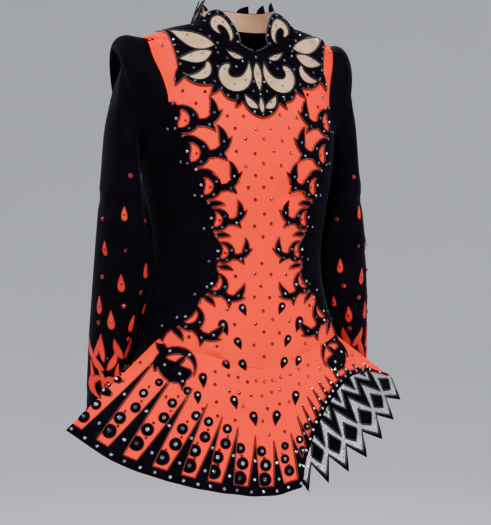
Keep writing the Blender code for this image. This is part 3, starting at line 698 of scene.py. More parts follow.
@dataclass(frozen=True)
class EdgeStitch:
    """A satin-stitched edge that follows an outline and wraps the edge of the cloth."""

    width: float = 1.1
    crown: float = 0.5
    spacing: float = 3.0

    def runs(self, outline: Outline, keep: Test, unit: float) -> list[Outline]:
        """Return the stretches of an outline that show, as evenly spaced places.

        Args:
            outline: The closed outline.
            keep: Tells whether a place shows.
            unit: Length of one millimetre on the chart, roughly.

        Returns:
            Open runs of places; one closed run where the whole outline shows.
        """
        places: Outline = []
        for start, end in zip(outline, outline[1:] + outline[:1]):
            count = max(round(math.dist(start, end) / unit / self.spacing), 1)
            places += [(mix(start[0], end[0], k / count), mix(start[1], end[1], k / count))
                       for k in range(count)]
        shown = [keep(place) for place in places]
        if all(shown):
            return [places + places[:1]]
        start = shown.index(False)
        runs: list[Outline] = [[]]
        for place, seen in zip(places[start:] + places[:start], shown[start:] + shown[:start]):
            if seen:
                runs[-1].append(place)
            elif runs[-1]:
                runs.append([])
        return [run for run in runs if len(run) > 1]

    def lay(self, stock: Stock, surface: Surface, run: Outline, top: float, outward: int) -> None:
        """Lay one stretch of stitching.

        Args:
            stock: The mesh to add to.
            surface: The form under it.
            run: Its places; closed where the last is the first.
            top: Height of the cloth's upper face.
            outward: 1 where the open side is on the run's right, -1 where it is on its left.
        """
        closed = run[0] == run[-1]
        spots = [surface.spot(*place) for place in (run[:-1] if closed else run)]
        rows = []
        for index, spot in enumerate(spots):
            after = spots[(index + 1) % len(spots)] if closed else spots[min(index + 1, len(spots) - 1)]
            before = spots[index - 1] if closed or index else spot
            along = (after.point - before.point).normalized()
            out = along.cross(spot.normal) * outward
            rows.append([
                spot.point + out * self.width * 0.9 + spot.normal * 0.1,
                spot.point + out * self.width * 0.75 + spot.normal * top * 0.8,
                spot.point + spot.normal * (top + self.crown),
                spot.point - out * self.width * 0.8 + spot.normal * (top + self.crown * 0.6),
                spot.point - out * self.width + spot.normal * (top - 0.1),
            ])
        stock.strip(rows, closed)


def signed_area(outline: Outline) -> float:
    """Return an outline's area, positive where it runs anticlockwise."""
    return sum(x0 * y1 - x1 * y0 for (x0, y0), (x1, y1) in zip(outline, outline[1:] + outline[:1])) / 2


class BladeForm(Enum):
    """The shapes that a blade of cloth is cut to."""

    LEAF = "pointed at both ends"
    DROP = "round head, pointed tail"
    CURL = "pointed start, round head at the end of a tightening bend"

    def swell(self, t: float) -> float:
        """Return how wide the blade is.

        Args:
            t: Share of its length.

        Returns:
            Its half width there, as a share of the greatest half width.
        """
        if self is BladeForm.LEAF:
            return math.sin(math.pi * t ** 0.8)
        if self is BladeForm.DROP:
            if t < DROP_HEAD:
                return math.sqrt(max(1 - ((DROP_HEAD - t) / DROP_HEAD) ** 2, 0))
            return math.cos(math.pi / 2 * (t - DROP_HEAD) / (1 - DROP_HEAD)) ** 1.2
        return comma_swell(t)


@dataclass(frozen=True)
class Blade:
    """A small appliqué laid along a spine that bends: a leaf, a drop or a curl.

    Its start and heading are real distances and a direction on the cloth round the place that it
    is laid at: 0 is to the wearer's left and 90 is up.
    """

    form: BladeForm
    start: Chart
    heading: float
    length: float
    width: float
    turn: float = 0.0

    def mirrored(self) -> Blade:
        """Return the blade's mirror image."""
        return Blade(self.form, (-self.start[0], self.start[1]), 180 - self.heading,
                     self.length, self.width, -self.turn)

    def lay(self, stock: Stock, surface: Surface, place: Chart, grow: float = 0.0,
            low: float = 0.1, high: float = 1.0, steps: int = 14) -> None:
        """Lay the blade on a surface.

        Args:
            stock: The mesh to add to.
            surface: The form under it.
            place: Chart place that its start is measured from.
            grow: Extra width all round.
            low: Height of its edge.
            high: Height of its middle.
            steps: Rows along it.
        """
        to_chart = surface.local(place)
        brow = mix(low, high, 0.8)
        section = ((-1, low), (-0.86, brow), (0, high), (0.86, brow), (1, low))
        x, y = self.start
        begin, span = -grow / self.length, 1 + 2 * grow / self.length
        x += math.cos(math.radians(self.heading)) * self.length * begin
        y += math.sin(math.radians(self.heading)) * self.length * begin
        rows = []
        for t in shares(steps):
            aim = math.radians(self.heading + self.turn * t ** 1.6)
            half = max(self.form.swell(t) * self.width / 2, 0.05) + grow
            across, up = -math.sin(aim), math.cos(aim)
            rows.append([surface.spot(*to_chart(x - across * half * s, y - up * half * s)).raised(height)
                         for s, height in section])
            x += math.cos(aim) * self.length * span / steps
            y += math.sin(aim) * self.length * span / steps
        stock.strip(rows)


@dataclass(frozen=True)
class Gem:
    """A flat-backed crystal with a table and a cut crown."""

    radius: float = 2.2
    sides: int = 8

    def set_on(self, stock: Stock, spot: Spot, height: float, spin: float = 0.0) -> None:
        """Set one crystal.

        Args:
            stock: The mesh to add to.
            spot: Where it is glued.
            height: Height of the cloth's face there.
            spin: How far it is turned.
        """
        left = spot.normal.cross(Vector((0, 0, 1))).normalized()
        if left.length < 0.5:
            left = Vector((1, 0, 0))
        above = spot.normal.cross(left)
        points = []
        for reach, rise, shift in ((1, 0.02, 0), (1, 0.2, 0), (0.78, 0.45, 0.5), (0.5, 0.6, 0)):
            for side in range(self.sides):
                turn = math.tau * (side + shift) / self.sides + spin
                points.append(spot.raised(height + self.radius * rise)
                              + (left * math.cos(turn) + above * math.sin(turn)) * self.radius * reach)
        n = self.sides
        faces: list[tuple[int, ...]] = [tuple(range(n)), tuple(range(3 * n, 4 * n))[::-1]]
        for side in range(n):
            after = (side + 1) % n
            girdle, crown, rim = side + n, side + 2 * n, side + 3 * n
            faces += [(side, girdle, after + n, after), (girdle, crown, after + n),
                      (after + n, crown, after + 2 * n), (crown, after + 3 * n, after + 2 * n),
                      (crown, rim, after + 3 * n)]
        stock.add(points, faces)


# ---------------------------------------------------------------- finishes

class Nodes:
    """A new material's node tree, with short calls to add nodes and to join them."""

    def __init__(self, name: str) -> None:
        """Make the material.

        Args:
            name: The material's name.
        """
        self.material = bpy.data.materials.new(name)
        self.material.use_nodes = True
        self.tree = self.material.node_tree
        self.shader = self.tree.nodes["Principled BSDF"]
        self.where = self.add("ShaderNodeTexCoord").outputs["Object"]

    def add(self, kind: str, **values: object) -> bpy.types.Node:
        """Add a node.

        Args:
            kind: Its type.
            values: Properties of the node, or values of its inputs, by name with _ for a space.

        Returns:
            The node.
        """
        node = self.tree.nodes.new(kind)
        for key, value in values.items():
            if hasattr(node, key):
                setattr(node, key, value)
            else:
                node.inputs[key.replace("_", " ")].default_value = value
        return node

    def join(self, output: Socket, node: bpy.types.Node, socket: str | int) -> None:
        """Join an output to a node's input."""
        self.tree.links.new(output, node.inputs[socket])

    def set(self, **values: object) -> None:
        """Set inputs of the shader, by name with _ for a space."""
        for key, value in values.items():
            self.shader.inputs[key.replace("_", " ")].default_value = value

    def noise(self, scale: float, detail: float = 2.0) -> Socket:
        """Return a smooth noise whose features are about 1 / scale metres across."""
        node = self.add("ShaderNodeTexNoise", Scale=scale, Detail=detail)
        self.join(self.where, node, "Vector")
        return node.outputs["Fac"]

    def ramp(self, factor: Socket, stops: Sequence[tuple[float, Sequence[float]]]) -> Socket:
        """Return a colour that runs through stops with a factor.

        Args:
            factor: The factor.
            stops: Positions from 0 to 1, each with a colour.

        Returns:
            The colour.
        """
        node = self.add("ShaderNodeValToRGB")
        elements = node.color_ramp.elements
        while len(elements) < len(stops):
            elements.new(0.5)
        for element, (position, colour) in zip(elements, stops):
            element.position = position
            element.color = (*colour, 1)
        self.join(factor, node, "Fac")
        return node.outputs["Color"]

    def paint(self, colour: Socket) -> None:
        """Use a colour as the shader's base colour."""
        self.join(colour, self.shader, "Base Color")

    def knit(self, pitch: float) -> Socket:
        """Return the height of a fine knit or weave.

        Args:
            pitch: Distance between two threads, in metres.

        Returns:
            The height.
        """
        heights = []
        for axis in ("X", "Z"):
            wave = self.add("ShaderNodeTexWave", wave_type="BANDS", bands_direction=axis,
                            Scale=math.pi / 10 / pitch, Distortion=0.6)
            self.join(self.where, wave, "Vector")
            heights.append(wave.outputs["Fac"])
        both = self.add("ShaderNodeMath", operation="MAXIMUM")
        self.join(heights[0], both, 0)
        self.join(heights[1], both, 1)
        return both.outputs["Value"]

    def bump(self, height: Socket, distance: float, strength: float = 0.6) -> None:
        """Raise the surface by a height.

        Args:
            height: The height, from 0 to 1.
            distance: What a height of 1 stands for, in metres.
            strength: Strength of the effect.
        """
        node = self.add("ShaderNodeBump", Distance=distance, Strength=strength)
        self.join(height, node, "Height")
        before = self.shader.inputs["Normal"].links
        if before:
            self.join(before[0].from_socket, node, "Normal")
        self.join(node.outputs["Normal"], self.shader, "Normal")


@dataclass(frozen=True)
class Finish(ABC):
    """A material, with the record's slot that it belongs to."""

    name: str
    slot: Slot | None

    @abstractmethod
    def dress(self, nodes: Nodes) -> None:
        """Set up the new material's nodes."""

    def material(self) -> bpy.types.Material:
        """Return the material, made once."""
        if self.name not in bpy.data.materials:
            self.dress(Nodes(self.name))
        return bpy.data.materials[self.name]


@dataclass(frozen=True)
class StretchSatin(Finish):
    """Fluorescent stretch satin with a fine knit and a soft lustre, and a painted glow: an emission in its
    own colour that brightens it whatever the lamps.
    """

    colour: Triple = (1.0, 0.017, 0.0)
    deep: Triple = (0.94, 0.012, 0.0)
    # painted glow: how strongly the satin emits light in its own colour, as if it were a lamp
    glow: float = 0.36

    def dress(self, nodes: Nodes) -> None:
        """Set up the satin.

        Args:
            nodes: The new material's nodes.
        """
        nodes.paint(nodes.ramp(nodes.noise(14, 3), ((0.25, self.deep), (0.5, self.colour))))
        # The emission is a painted glow that brightens the satin whatever the lamps.
        nodes.set(Roughness=0.6, Specular_IOR_Level=0.06, Sheen_Weight=0.02, Sheen_Roughness=0.4,
                  Sheen_Tint=(1.0, 0.3, 0.15, 1), Emission_Color=(*self.colour, 1),
                  Emission_Strength=self.glow)
        nodes.bump(nodes.noise(60), 0.0006, 0.3)
        nodes.bump(nodes.knit(0.0007), 0.00008, 0.35)


@dataclass(frozen=True)
class Velvet(Finish):
    """Black stretch velvet: very dark, with a painted cool sheen in random patches, standing in for the light
    that the pile catches where it turns away.
    """

    dark: Triple = (0.0013, 0.0006, 0.0019)
    # painted sheen: the lighter, cooler tone of the patches
    bloom: Triple = (0.0031, 0.002, 0.0047)

    def dress(self, nodes: Nodes) -> None:
        """Set up the velvet.

        Args:
            nodes: The new material's nodes.
        """
        # Random patches of painted sheen over the dark base colour.
        nodes.paint(nodes.ramp(nodes.noise(22, 4), ((0.35, self.dark), (0.7, self.bloom))))
        nodes.set(Roughness=0.9, Specular_IOR_Level=0.04, Sheen_Weight=0.05, Sheen_Roughness=0.3,
                  Sheen_Tint=(0.5, 0.55, 0.8, 1))
        nodes.bump(nodes.noise(45, 3), 0.0012, 0.35)
        nodes.bump(nodes.noise(1400, 1), 0.0002, 0.5)


@dataclass(frozen=True)
class NudeSatin(Finish):
    """Skin-coloured satin behind the velvet's windows."""

    colour: Triple = (0.62, 0.4, 0.235)
    shade: Triple = (0.47, 0.28, 0.15)

    def dress(self, nodes: Nodes) -> None:
        """Set up the satin.

        Args:
            nodes: The new material's nodes.
        """
        nodes.paint(nodes.ramp(nodes.noise(40, 3), ((0.3, self.shade), (0.6, self.colour))))
        nodes.set(Roughness=0.45, Specular_IOR_Level=0.35, Sheen_Weight=0.15, Sheen_Roughness=0.4)
        nodes.bump(nodes.knit(0.0005), 0.00006, 0.3)


@dataclass(frozen=True)
class GlitterCloth(Finish):
    """Silver cloth covered in small flakes that all face slightly different ways."""

    flake: float = 0.0011

    def dress(self, nodes: Nodes) -> None:
        """Set up the glitter cloth.

        Args:
            nodes: The new material's nodes.
        """
        flakes = nodes.add("ShaderNodeTexVoronoi", Scale=1 / self.flake)
        nodes.join(nodes.where, flakes, "Vector")
        shade = nodes.add("ShaderNodeSeparateColor")
        nodes.join(flakes.outputs["Color"], shade, "Color")
        nodes.paint(nodes.ramp(shade.outputs["Red"], ((0.0, (0.2, 0.2, 0.24)), (0.45, (0.5, 0.5, 0.56)),
                                                      (0.8, (0.66, 0.65, 0.7)), (1.0, (0.9, 0.9, 0.95)))))
        nodes.set(Roughness=0.3, Metallic=0.55, Specular_IOR_Level=0.6)
        centre = nodes.add("ShaderNodeVectorMath", operation="SUBTRACT")
        nodes.join(flakes.outputs["Color"], centre, 0)
        centre.inputs[1].default_value = (0.5, 0.5, 0.5)
        tilt = nodes.add("ShaderNodeVectorMath", operation="SCALE", Scale=0.7)
        nodes.join(centre.outputs["Vector"], tilt, 0)
        total = nodes.add("ShaderNodeVectorMath", operation="ADD")
        nodes.join(tilt.outputs["Vector"], total, 0)
        nodes.join(nodes.add("ShaderNodeNewGeometry").outputs["Normal"], total, 1)
        unit = nodes.add("ShaderNodeVectorMath", operation="NORMALIZE")
        nodes.join(total.outputs["Vector"], unit, 0)
        nodes.join(unit.outputs["Vector"], nodes.shader, "Normal")


@dataclass(frozen=True)
class Thread(Finish):
    """Embroidery thread laid as a close satin stitch."""

    colour: Triple
    shade: Triple

    def dress(self, nodes: Nodes) -> None:
        """Set up the thread.

        Args:
            nodes: The new material's nodes.
        """
        nodes.paint(nodes.ramp(nodes.noise(600, 1), ((0.35, self.shade), (0.65, self.colour))))
        nodes.set(Roughness=0.5, Specular_IOR_Level=0.3, Sheen_Weight=0.1)
        nodes.bump(nodes.noise(1800, 1), 0.0002, 0.6)


@dataclass(frozen=True)
class Crystal(Finish):
    """Foil-backed crystal, lighter or darker in patches: a painted reflection standing in for the tones that
    its facets pick up.
    """

    light: Triple
    dark: Triple

    def dress(self, nodes: Nodes) -> None:
        """Set up the crystal."""
        # Painted reflection: light and dark tones mixed in patches about a crystal wide, so that each crystal
        # looks lit differently.
        nodes.paint(nodes.ramp(nodes.noise(190, 1), ((0.35, self.dark), (0.65, self.light))))
        nodes.set(Roughness=0.07, Metallic=0.85, Specular_IOR_Level=0.8, Coat_Weight=0.6, Coat_Roughness=0.03)


@dataclass(frozen=True)
class StudioPaper(Finish):
    """Matt pale paper for the studio's floor and its curved sides."""

    colour: Triple = (0.6, 0.61, 0.635)

    def dress(self, nodes: Nodes) -> None:
        """Set up the paper.

        Args:
            nodes: The new material's nodes.
        """
        pale = tuple(value * 1.03 for value in self.colour)
        nodes.paint(nodes.ramp(nodes.noise(0.8), ((0.3, self.colour), (0.7, pale))))
        nodes.set(Roughness=0.9, Specular_IOR_Level=0.1)


# Both stretch satins have a painted glow from their emission; the flame satin's last number is its strength.
ORANGE = StretchSatin("stretch_satin_orange", Slot.ORANGE)
FLAME = StretchSatin("satin_flame", Slot.ORANGE, (0.78, 0.03, 0.018), (0.55, 0.015, 0.01), 0.06)
VELVET = Velvet("velvet_black", Slot.VELVET)
NUDE = NudeSatin("satin_nude", Slot.NUDE)
SILVER = GlitterCloth("glitter_silver", Slot.SILVER)
# Dark-red stitched edge of the velvet pieces: a real satin stitch, and partly painted shade, its dark red
# standing in for the shadow line where the velvet meets the orange.
EDGE_SHADE_THREAD = Thread("thread_dark_red", Slot.VELVET, (0.2, 0.012, 0.006), (0.07, 0.005, 0.004))
BLACK_THREAD = Thread("thread_black", Slot.VELVET, (0.012, 0.012, 0.016), (0.004, 0.004, 0.006))
RED_SATIN = Thread("satin_stitch_red", Slot.ORANGE, (0.42, 0.01, 0.01), (0.25, 0.006, 0.006))
# The tone pairs of the crystals below are painted reflection, a light and a dark one.
CLEAR_GEM = Crystal("crystal_clear", Slot.SILVER, (0.86, 0.88, 0.95), (0.2, 0.22, 0.28))
SMOKE_GEM = Crystal("crystal_smoke", Slot.SILVER, (0.22, 0.24, 0.31), (0.03, 0.03, 0.05))
HONEY_GEM = Crystal("crystal_honey", Slot.SILVER, (0.8, 0.6, 0.4), (0.35, 0.2, 0.1))
AMBER_GEM = Crystal("crystal_flame", Slot.ORANGE, (0.42, 0.03, 0.015), (0.12, 0.005, 0.004))


def place_piece(piece: Piece, finish: Finish, nodes: Sequence[str] = ()) -> Piece:
    """Give a piece its finish, put it on the body and report it.

    Args:
        piece: The piece, in place.
        finish: What it is made of.
        nodes: Nodes of the frame that it stands for.

    Returns:
        The piece.
    """
    piece.data.materials.append(finish.material())
    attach(piece, BODY)
    if nodes:
        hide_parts(*nodes)
    LOG.info("%s: %d faces, %s", piece.name, len(piece.data.polygons), finish.name)
    return piece


@dataclass(frozen=True)
class FlatCut:
    """The size that a piece of cloth was cut to, in metres, and its area in square metres."""

    width: float
    length: float
    area: float


class Trim:
    """The small things sewn or glued to the cloth, gathered by finish into one mesh each."""

    def __init__(self, prefix: str, surface: Surface) -> None:
        """Start empty.

        Args:
            prefix: Start of the names of the pieces.
            surface: The form under them.
        """
        self.prefix = prefix
        self.surface = surface
        self.stocks: dict[str, tuple[Finish, Stock, bool]] = {}
        self.dice = random.Random(prefix)

    def stock(self, word: str, finish: Finish, smooth: bool = True) -> Stock:
        """Return the mesh that one sort of trim is gathered in."""
        return self.stocks.setdefault(word, (finish, Stock(), smooth))[1]

    def gem(self, place: Chart, height: float, finish: Finish, radius: float) -> None:
        """Glue a crystal on."""
        stock = self.stock(finish.name, finish, smooth=False)
        Gem(radius).set_on(stock, self.surface.spot(*place), height, self.dice.uniform(0, 1))

    def disc(self, word: str, finish: Finish, place: Chart, radius: float, high: float,
             sides: int = 24) -> None:
        """Sew a low round button of cloth on.

        Args:
            word: End of the piece's name.
            finish: What it is made of.
            place: Chart place of its middle.
            radius: Its radius.
            high: Height of its middle.
            sides: Number of sides.
        """
        to_chart, middle = self.surface.local(place), self.surface.spot(*place)
        points = [self.surface.spot(*to_chart(*corner)).raised(height)
                  for reach, height in ((1, 0.1), (0.97, 0.7 * high), (0.8, 0.95 * high))
                  for corner in ring((0, 0), radius * reach, sides)]
        crown, foot = len(points), len(points) + 1
        faces: list[tuple[int, ...]] = []
        for side in range(sides):
            after = (side + 1) % sides
            for low in (0, sides):
                faces.append((low + side, low + after, low + sides + after, low + sides + side))
            faces += [(2 * sides + side, 2 * sides + after, crown), (side, foot, after)]
        self.stock(word, finish).add(points + [middle.raised(high), middle.raised(0.1)], faces)

    def stitch(self, word: str, finish: Finish, shapes: list[Outline], windows: list[Outline], top: float,
               keep: Test, unit: float = 1.0, stitch: EdgeStitch = EdgeStitch()) -> None:
        """Stitch round every edge of a cut piece that shows.

        Args:
            word: End of the stitching's name.
            finish: Its thread.
            shapes: Outlines that the piece fills.
            windows: Outlines that are cut out of it.
            top: Height of the piece's upper face.
            keep: Tells whether a place lies on the cloth.
            unit: Length of one millimetre on the chart, roughly.
            stitch: The stitching's size.
        """
        filled, stock = [Shape(outline) for outline in shapes], self.stock(word, finish)
        for index, outline in enumerate(shapes + windows):
            others = filled[:index] + filled[index + 1:] if index < len(shapes) else []
            outward = 1 if (signed_area(outline) > 0) == (index < len(shapes)) else -1

            def open_edge(place: Chart) -> bool:
                """Return whether the edge shows at a place: on the cloth and in no other shape."""
                return keep(place) and not any(other.holds(place) for other in others)

            for run in stitch.runs(outline, open_edge, unit):
                stitch.lay(stock, self.surface, run, top, outward)

    def drop(self, place: Chart, size: float, heading: float) -> None:
        """Lay a velvet drop with a dark-red edge and a crystal in its head.

        Args:
            place: Chart place of its head.
            size: Its length.
            heading: Direction that its tail points in.
        """
        turn = 18 if heading < -90 else -18
        blade = Blade(BladeForm.DROP, (0, 0), heading, size, size * 0.58, turn)
        blade.lay(self.stock("drop_edges", EDGE_SHADE_THREAD), self.surface, place, grow=0.7, high=0.7)
        blade.lay(self.stock("drops", VELVET), self.surface, place, high=1.1)
        self.gem(self.surface.local(place)(*toward(heading, size * 0.3)), 1.1, CLEAR_GEM, 2.0)

    def pieces(self) -> list[Piece]:
        """Return everything gathered as finished pieces."""
        return [place_piece(stock.mesh_object(f"{self.prefix}_{word}", smooth), finish)
                for word, (finish, stock, smooth) in self.stocks.items() if stock.points]


# ---------------------------------------------------------------- the body's form

@dataclass
class BodyForm:
    """The body's form and the seams that run over it."""

    roundness: float = 2.5
    sections: Table = Table(
        "height half_width front back",
        (60, 50, 50, 56), (25, 49, 50, 56), (12, 52, 51, 58), (0, 64, 54, 61), (-6, 92, 57, 66),
        (-13, 118, 60, 71), (-22, 140.5, 64, 76), (-50, 146, 71, 82), (-80, 142, 80, 88),
        (-112, 138, 91, 91), (-140, 139, 98, 92), (-168, 140, 102, 92), (-200, 137, 104, 89),
        (-240, 131, 101, 82), (-290, 123, 97, 72), (-335, 120, 95, 68), (-380, 127, 96, 77),
        (-430, 142, 99, 96), (-475, 150, 101, 106))
    armhole_top: float = -22
    armhole_foot: float = -168
    armhole_steps: int = 7
    princess_step: int = 4
    armhole: Table = Table(
        "height reach",
        (-22, 140), (-50, 135), (-80, 125), (-112, 120), (-145, 128), (-168, 140))
    princess: Table = Table(
        "height reach",
        (-111, 120), (-170, 108), (-235, 84), (-290, 69), (-335, 65), (-380, 88), (-410, 115), (-437, 137))
    neck_drop: float = 45
    neck_spread: float = 80
    back_neck_rise: float = 5
    back_neck_power: float = 4
    hip_centre: float = -472
    hip_side: float = -437
    hip_back: float = -446
    front_creases: tuple[Crease, ...] = rows_of(
        Crease, ((-74, -226), (-16, -206), 5.0, 4.6, 3), ((-46, -234), (8, -229), 2.2, 4.0, -2),
        ((2, -238), (64, -208), 4.6, 4.6, -4), ((16, -254), (80, -240), 3.4, 4.2, 3),
        ((-66, -264), (-20, -250), 1.8, 4.5), ((-52, -338), (-8, -346), 1.6, 5.0, 2),
        ((12, -332), (56, -322), 1.8, 5.0, -2), ((-96, -444), (-42, -466), 4.4, 4.0, 2),
        ((26, -462), (88, -450), 2.0, 4.5, -2))
    back_creases: tuple[Crease, ...] = rows_of(
        Crease, ((12, -300), (84, -284), 2.0, 6.0, 4), ((-88, -292), (-10, -316), 1.6, 6.5, -3),
        ((24, -340), (96, -352), 2.4, 7.0, -5), ((-92, -362), (-30, -344), 2.0, 6.0, 4),
        ((40, -150), (104, -176), 1.4, 7.0, 5), ((-106, -184), (-46, -158), 1.6, 7.0, 4),
        ((-70, -398), (-14, -410), 1.2, 7.0, 3), ((16, -402), (100, -396), 1.2, 7.0, -3))

    def level(self, angle: float, height: float) -> Triple:
        """Return the form's reach in a direction.

        Args:
            angle: Angle from the centre front.
            height: Height.

        Returns:
            The reach without creases, and the sine and cosine of the angle.
        """
        turn = math.radians(angle)
        across, ahead = math.sin(turn), math.cos(turn)
        depth = self.sections.at("front" if ahead > 0 else "back", height)
        share = (abs(across / self.sections.at("half_width", height)) ** self.roundness
                 + abs(ahead / depth) ** self.roundness)
        return share ** (-1 / self.roundness), across, ahead

    def point(self, angle: float, height: float) -> Vector:
        """Return a point of the form with its creases.

        Args:
            angle: Angle from the centre front.
            height: Height.

        Returns:
            The point.
        """
        reach, across, ahead = self.level(angle, height)
        creases = self.front_creases if ahead > 0 else self.back_creases
        reach += total_relief(creases, reach * across, height)
        return Vector((reach * across, -reach * ahead, height))

    def spot(self, angle: float, height: float) -> Spot:
        """Return a spot of the form, charted by its front elevation.

        Args:
            angle: Angle from the centre front.
            height: Height.

        Returns:
            The spot.
        """
        step = 0.02
        along = self.point(angle + step, height) - self.point(angle - step, height)
        rise = self.point(angle, height + step) - self.point(angle, height - step)
        reach, across, _ = self.level(angle, height)
        return Spot(self.point(angle, height), along.cross(rise).normalized(), (reach * across, height))

    def angle_at(self, reach: float, height: float, front: bool = True) -> float:
        """Return the angle at which the front or the back lies a given reach from the centre plane.

        Args:
            reach: Distance from the centre plane.
            height: Height.
            front: Whether the front is meant.

        Returns:
            The angle.
        """
        share = min(reach / self.sections.at("half_width", height), 1)
        depth = self.sections.at("front" if front else "back", height)
        turn = math.degrees(math.atan2(reach, depth * (1 - share ** self.roundness) ** (1 / self.roundness)))
        return turn if front else 180 - turn

    def armhole_height(self, step: float) -> float:
        """Return the height of the armhole seam, counted in steps from its top."""
        share = (1 - math.cos(math.pi * step / self.armhole_steps)) / 2
        return mix(self.armhole_top, self.armhole_foot, share)

    def armhole_angle(self, height: float, front: bool) -> float:
        """Return the angle of the armhole seam, or of the seam above and below it, at a height."""
        if not self.armhole_foot < height < self.armhole_top:
            return 90
        return self.angle_at(self.armhole.at("reach", height), height, front)

    def front_edge(self, height: float) -> float:
        """Return the angle of the front panel's edge at a height."""
        if height > self.armhole_height(self.princess_step) - 0.01:
            return self.armhole_angle(height, True)
        return self.angle_at(self.princess.at("reach", height), height)

    def neck_height(self, angle: float) -> float:
        """Return the height of the neckline at an angle; it dips in front, within neck_spread."""
        if abs(angle) > 90:
            return self.back_neck_rise * math.cos(math.radians(angle)) ** self.back_neck_power
        return -self.neck_drop * math.cos(math.radians(90 * min(abs(angle) / self.neck_spread, 1))) ** 2

    def hip_height(self, angle: float) -> float:
        """Return how high the hip seam is.

        Args:
            angle: Angle from the centre front.

        Returns:
            The seam's height there.
        """
        edge = self.front_edge(self.hip_side)
        if abs(angle) <= edge:
            return mix(self.hip_side, self.hip_centre, math.cos(math.radians(90 * angle / edge)) ** 2)
        return mix(self.hip_side, self.hip_back, math.cos(math.radians(max(abs(angle), 90))) ** 2)

    def inset(self, angle: float, height: float, hand: int) -> float:
        """Return an angle moved along the section by half a seam's gap."""
        return angle + hand * math.degrees(SEAM_GAP / 2 / self.level(angle, height)[0])


FORM = BodyForm()


class FrontForm(Surface):
    """The front of the body, charted by its front elevation."""

    def point(self, across: float, up: float) -> Vector:
        """Return the front's point at a place of the elevation."""
        return FORM.point(math.copysign(FORM.angle_at(abs(across), up), across), up)


FRONT = FrontForm()


@dataclass(frozen=True)
class Level:
    """Heights of a panel's row at its middle and at its edge; None follows the armhole."""

    inner: float
    edge: float | None
    power: float


def level_at(levels: Sequence[Level], place: float) -> Triple:
    """Return the middle and edge heights and the power of a row between two of a panel's levels.

    Args:
        levels: The panel's levels, the third of which is at the armhole's top.
        place: Place among them, counted in levels.

    Returns:
        The inner height, the edge height and the power.
    """
    def edge(index: int) -> float:
        """Return a level's edge height."""
        value = levels[index].edge
        return FORM.armhole_height(index - SHOULDER_ROWS) if value is None else value

    low = min(int(place), len(levels) - 2)
    share = place - low
    both_free = levels[low].edge is None and levels[low + 1].edge is None
    outer = FORM.armhole_height(place - SHOULDER_ROWS) if both_free else mix(edge(low), edge(low + 1), share)
    first, second = levels[low], levels[low + 1]
    return mix(first.inner, second.inner, share), outer, mix(first.power, second.power, share)


# ---------------------------------------------------------------- the front, its yoke and its side bands

@dataclass(frozen=True)
class Frond:
    """A leaf of the yoke: its direction, the reach of its two ends, and its width."""

    turn: float
    near: float
    far: float
    width: float


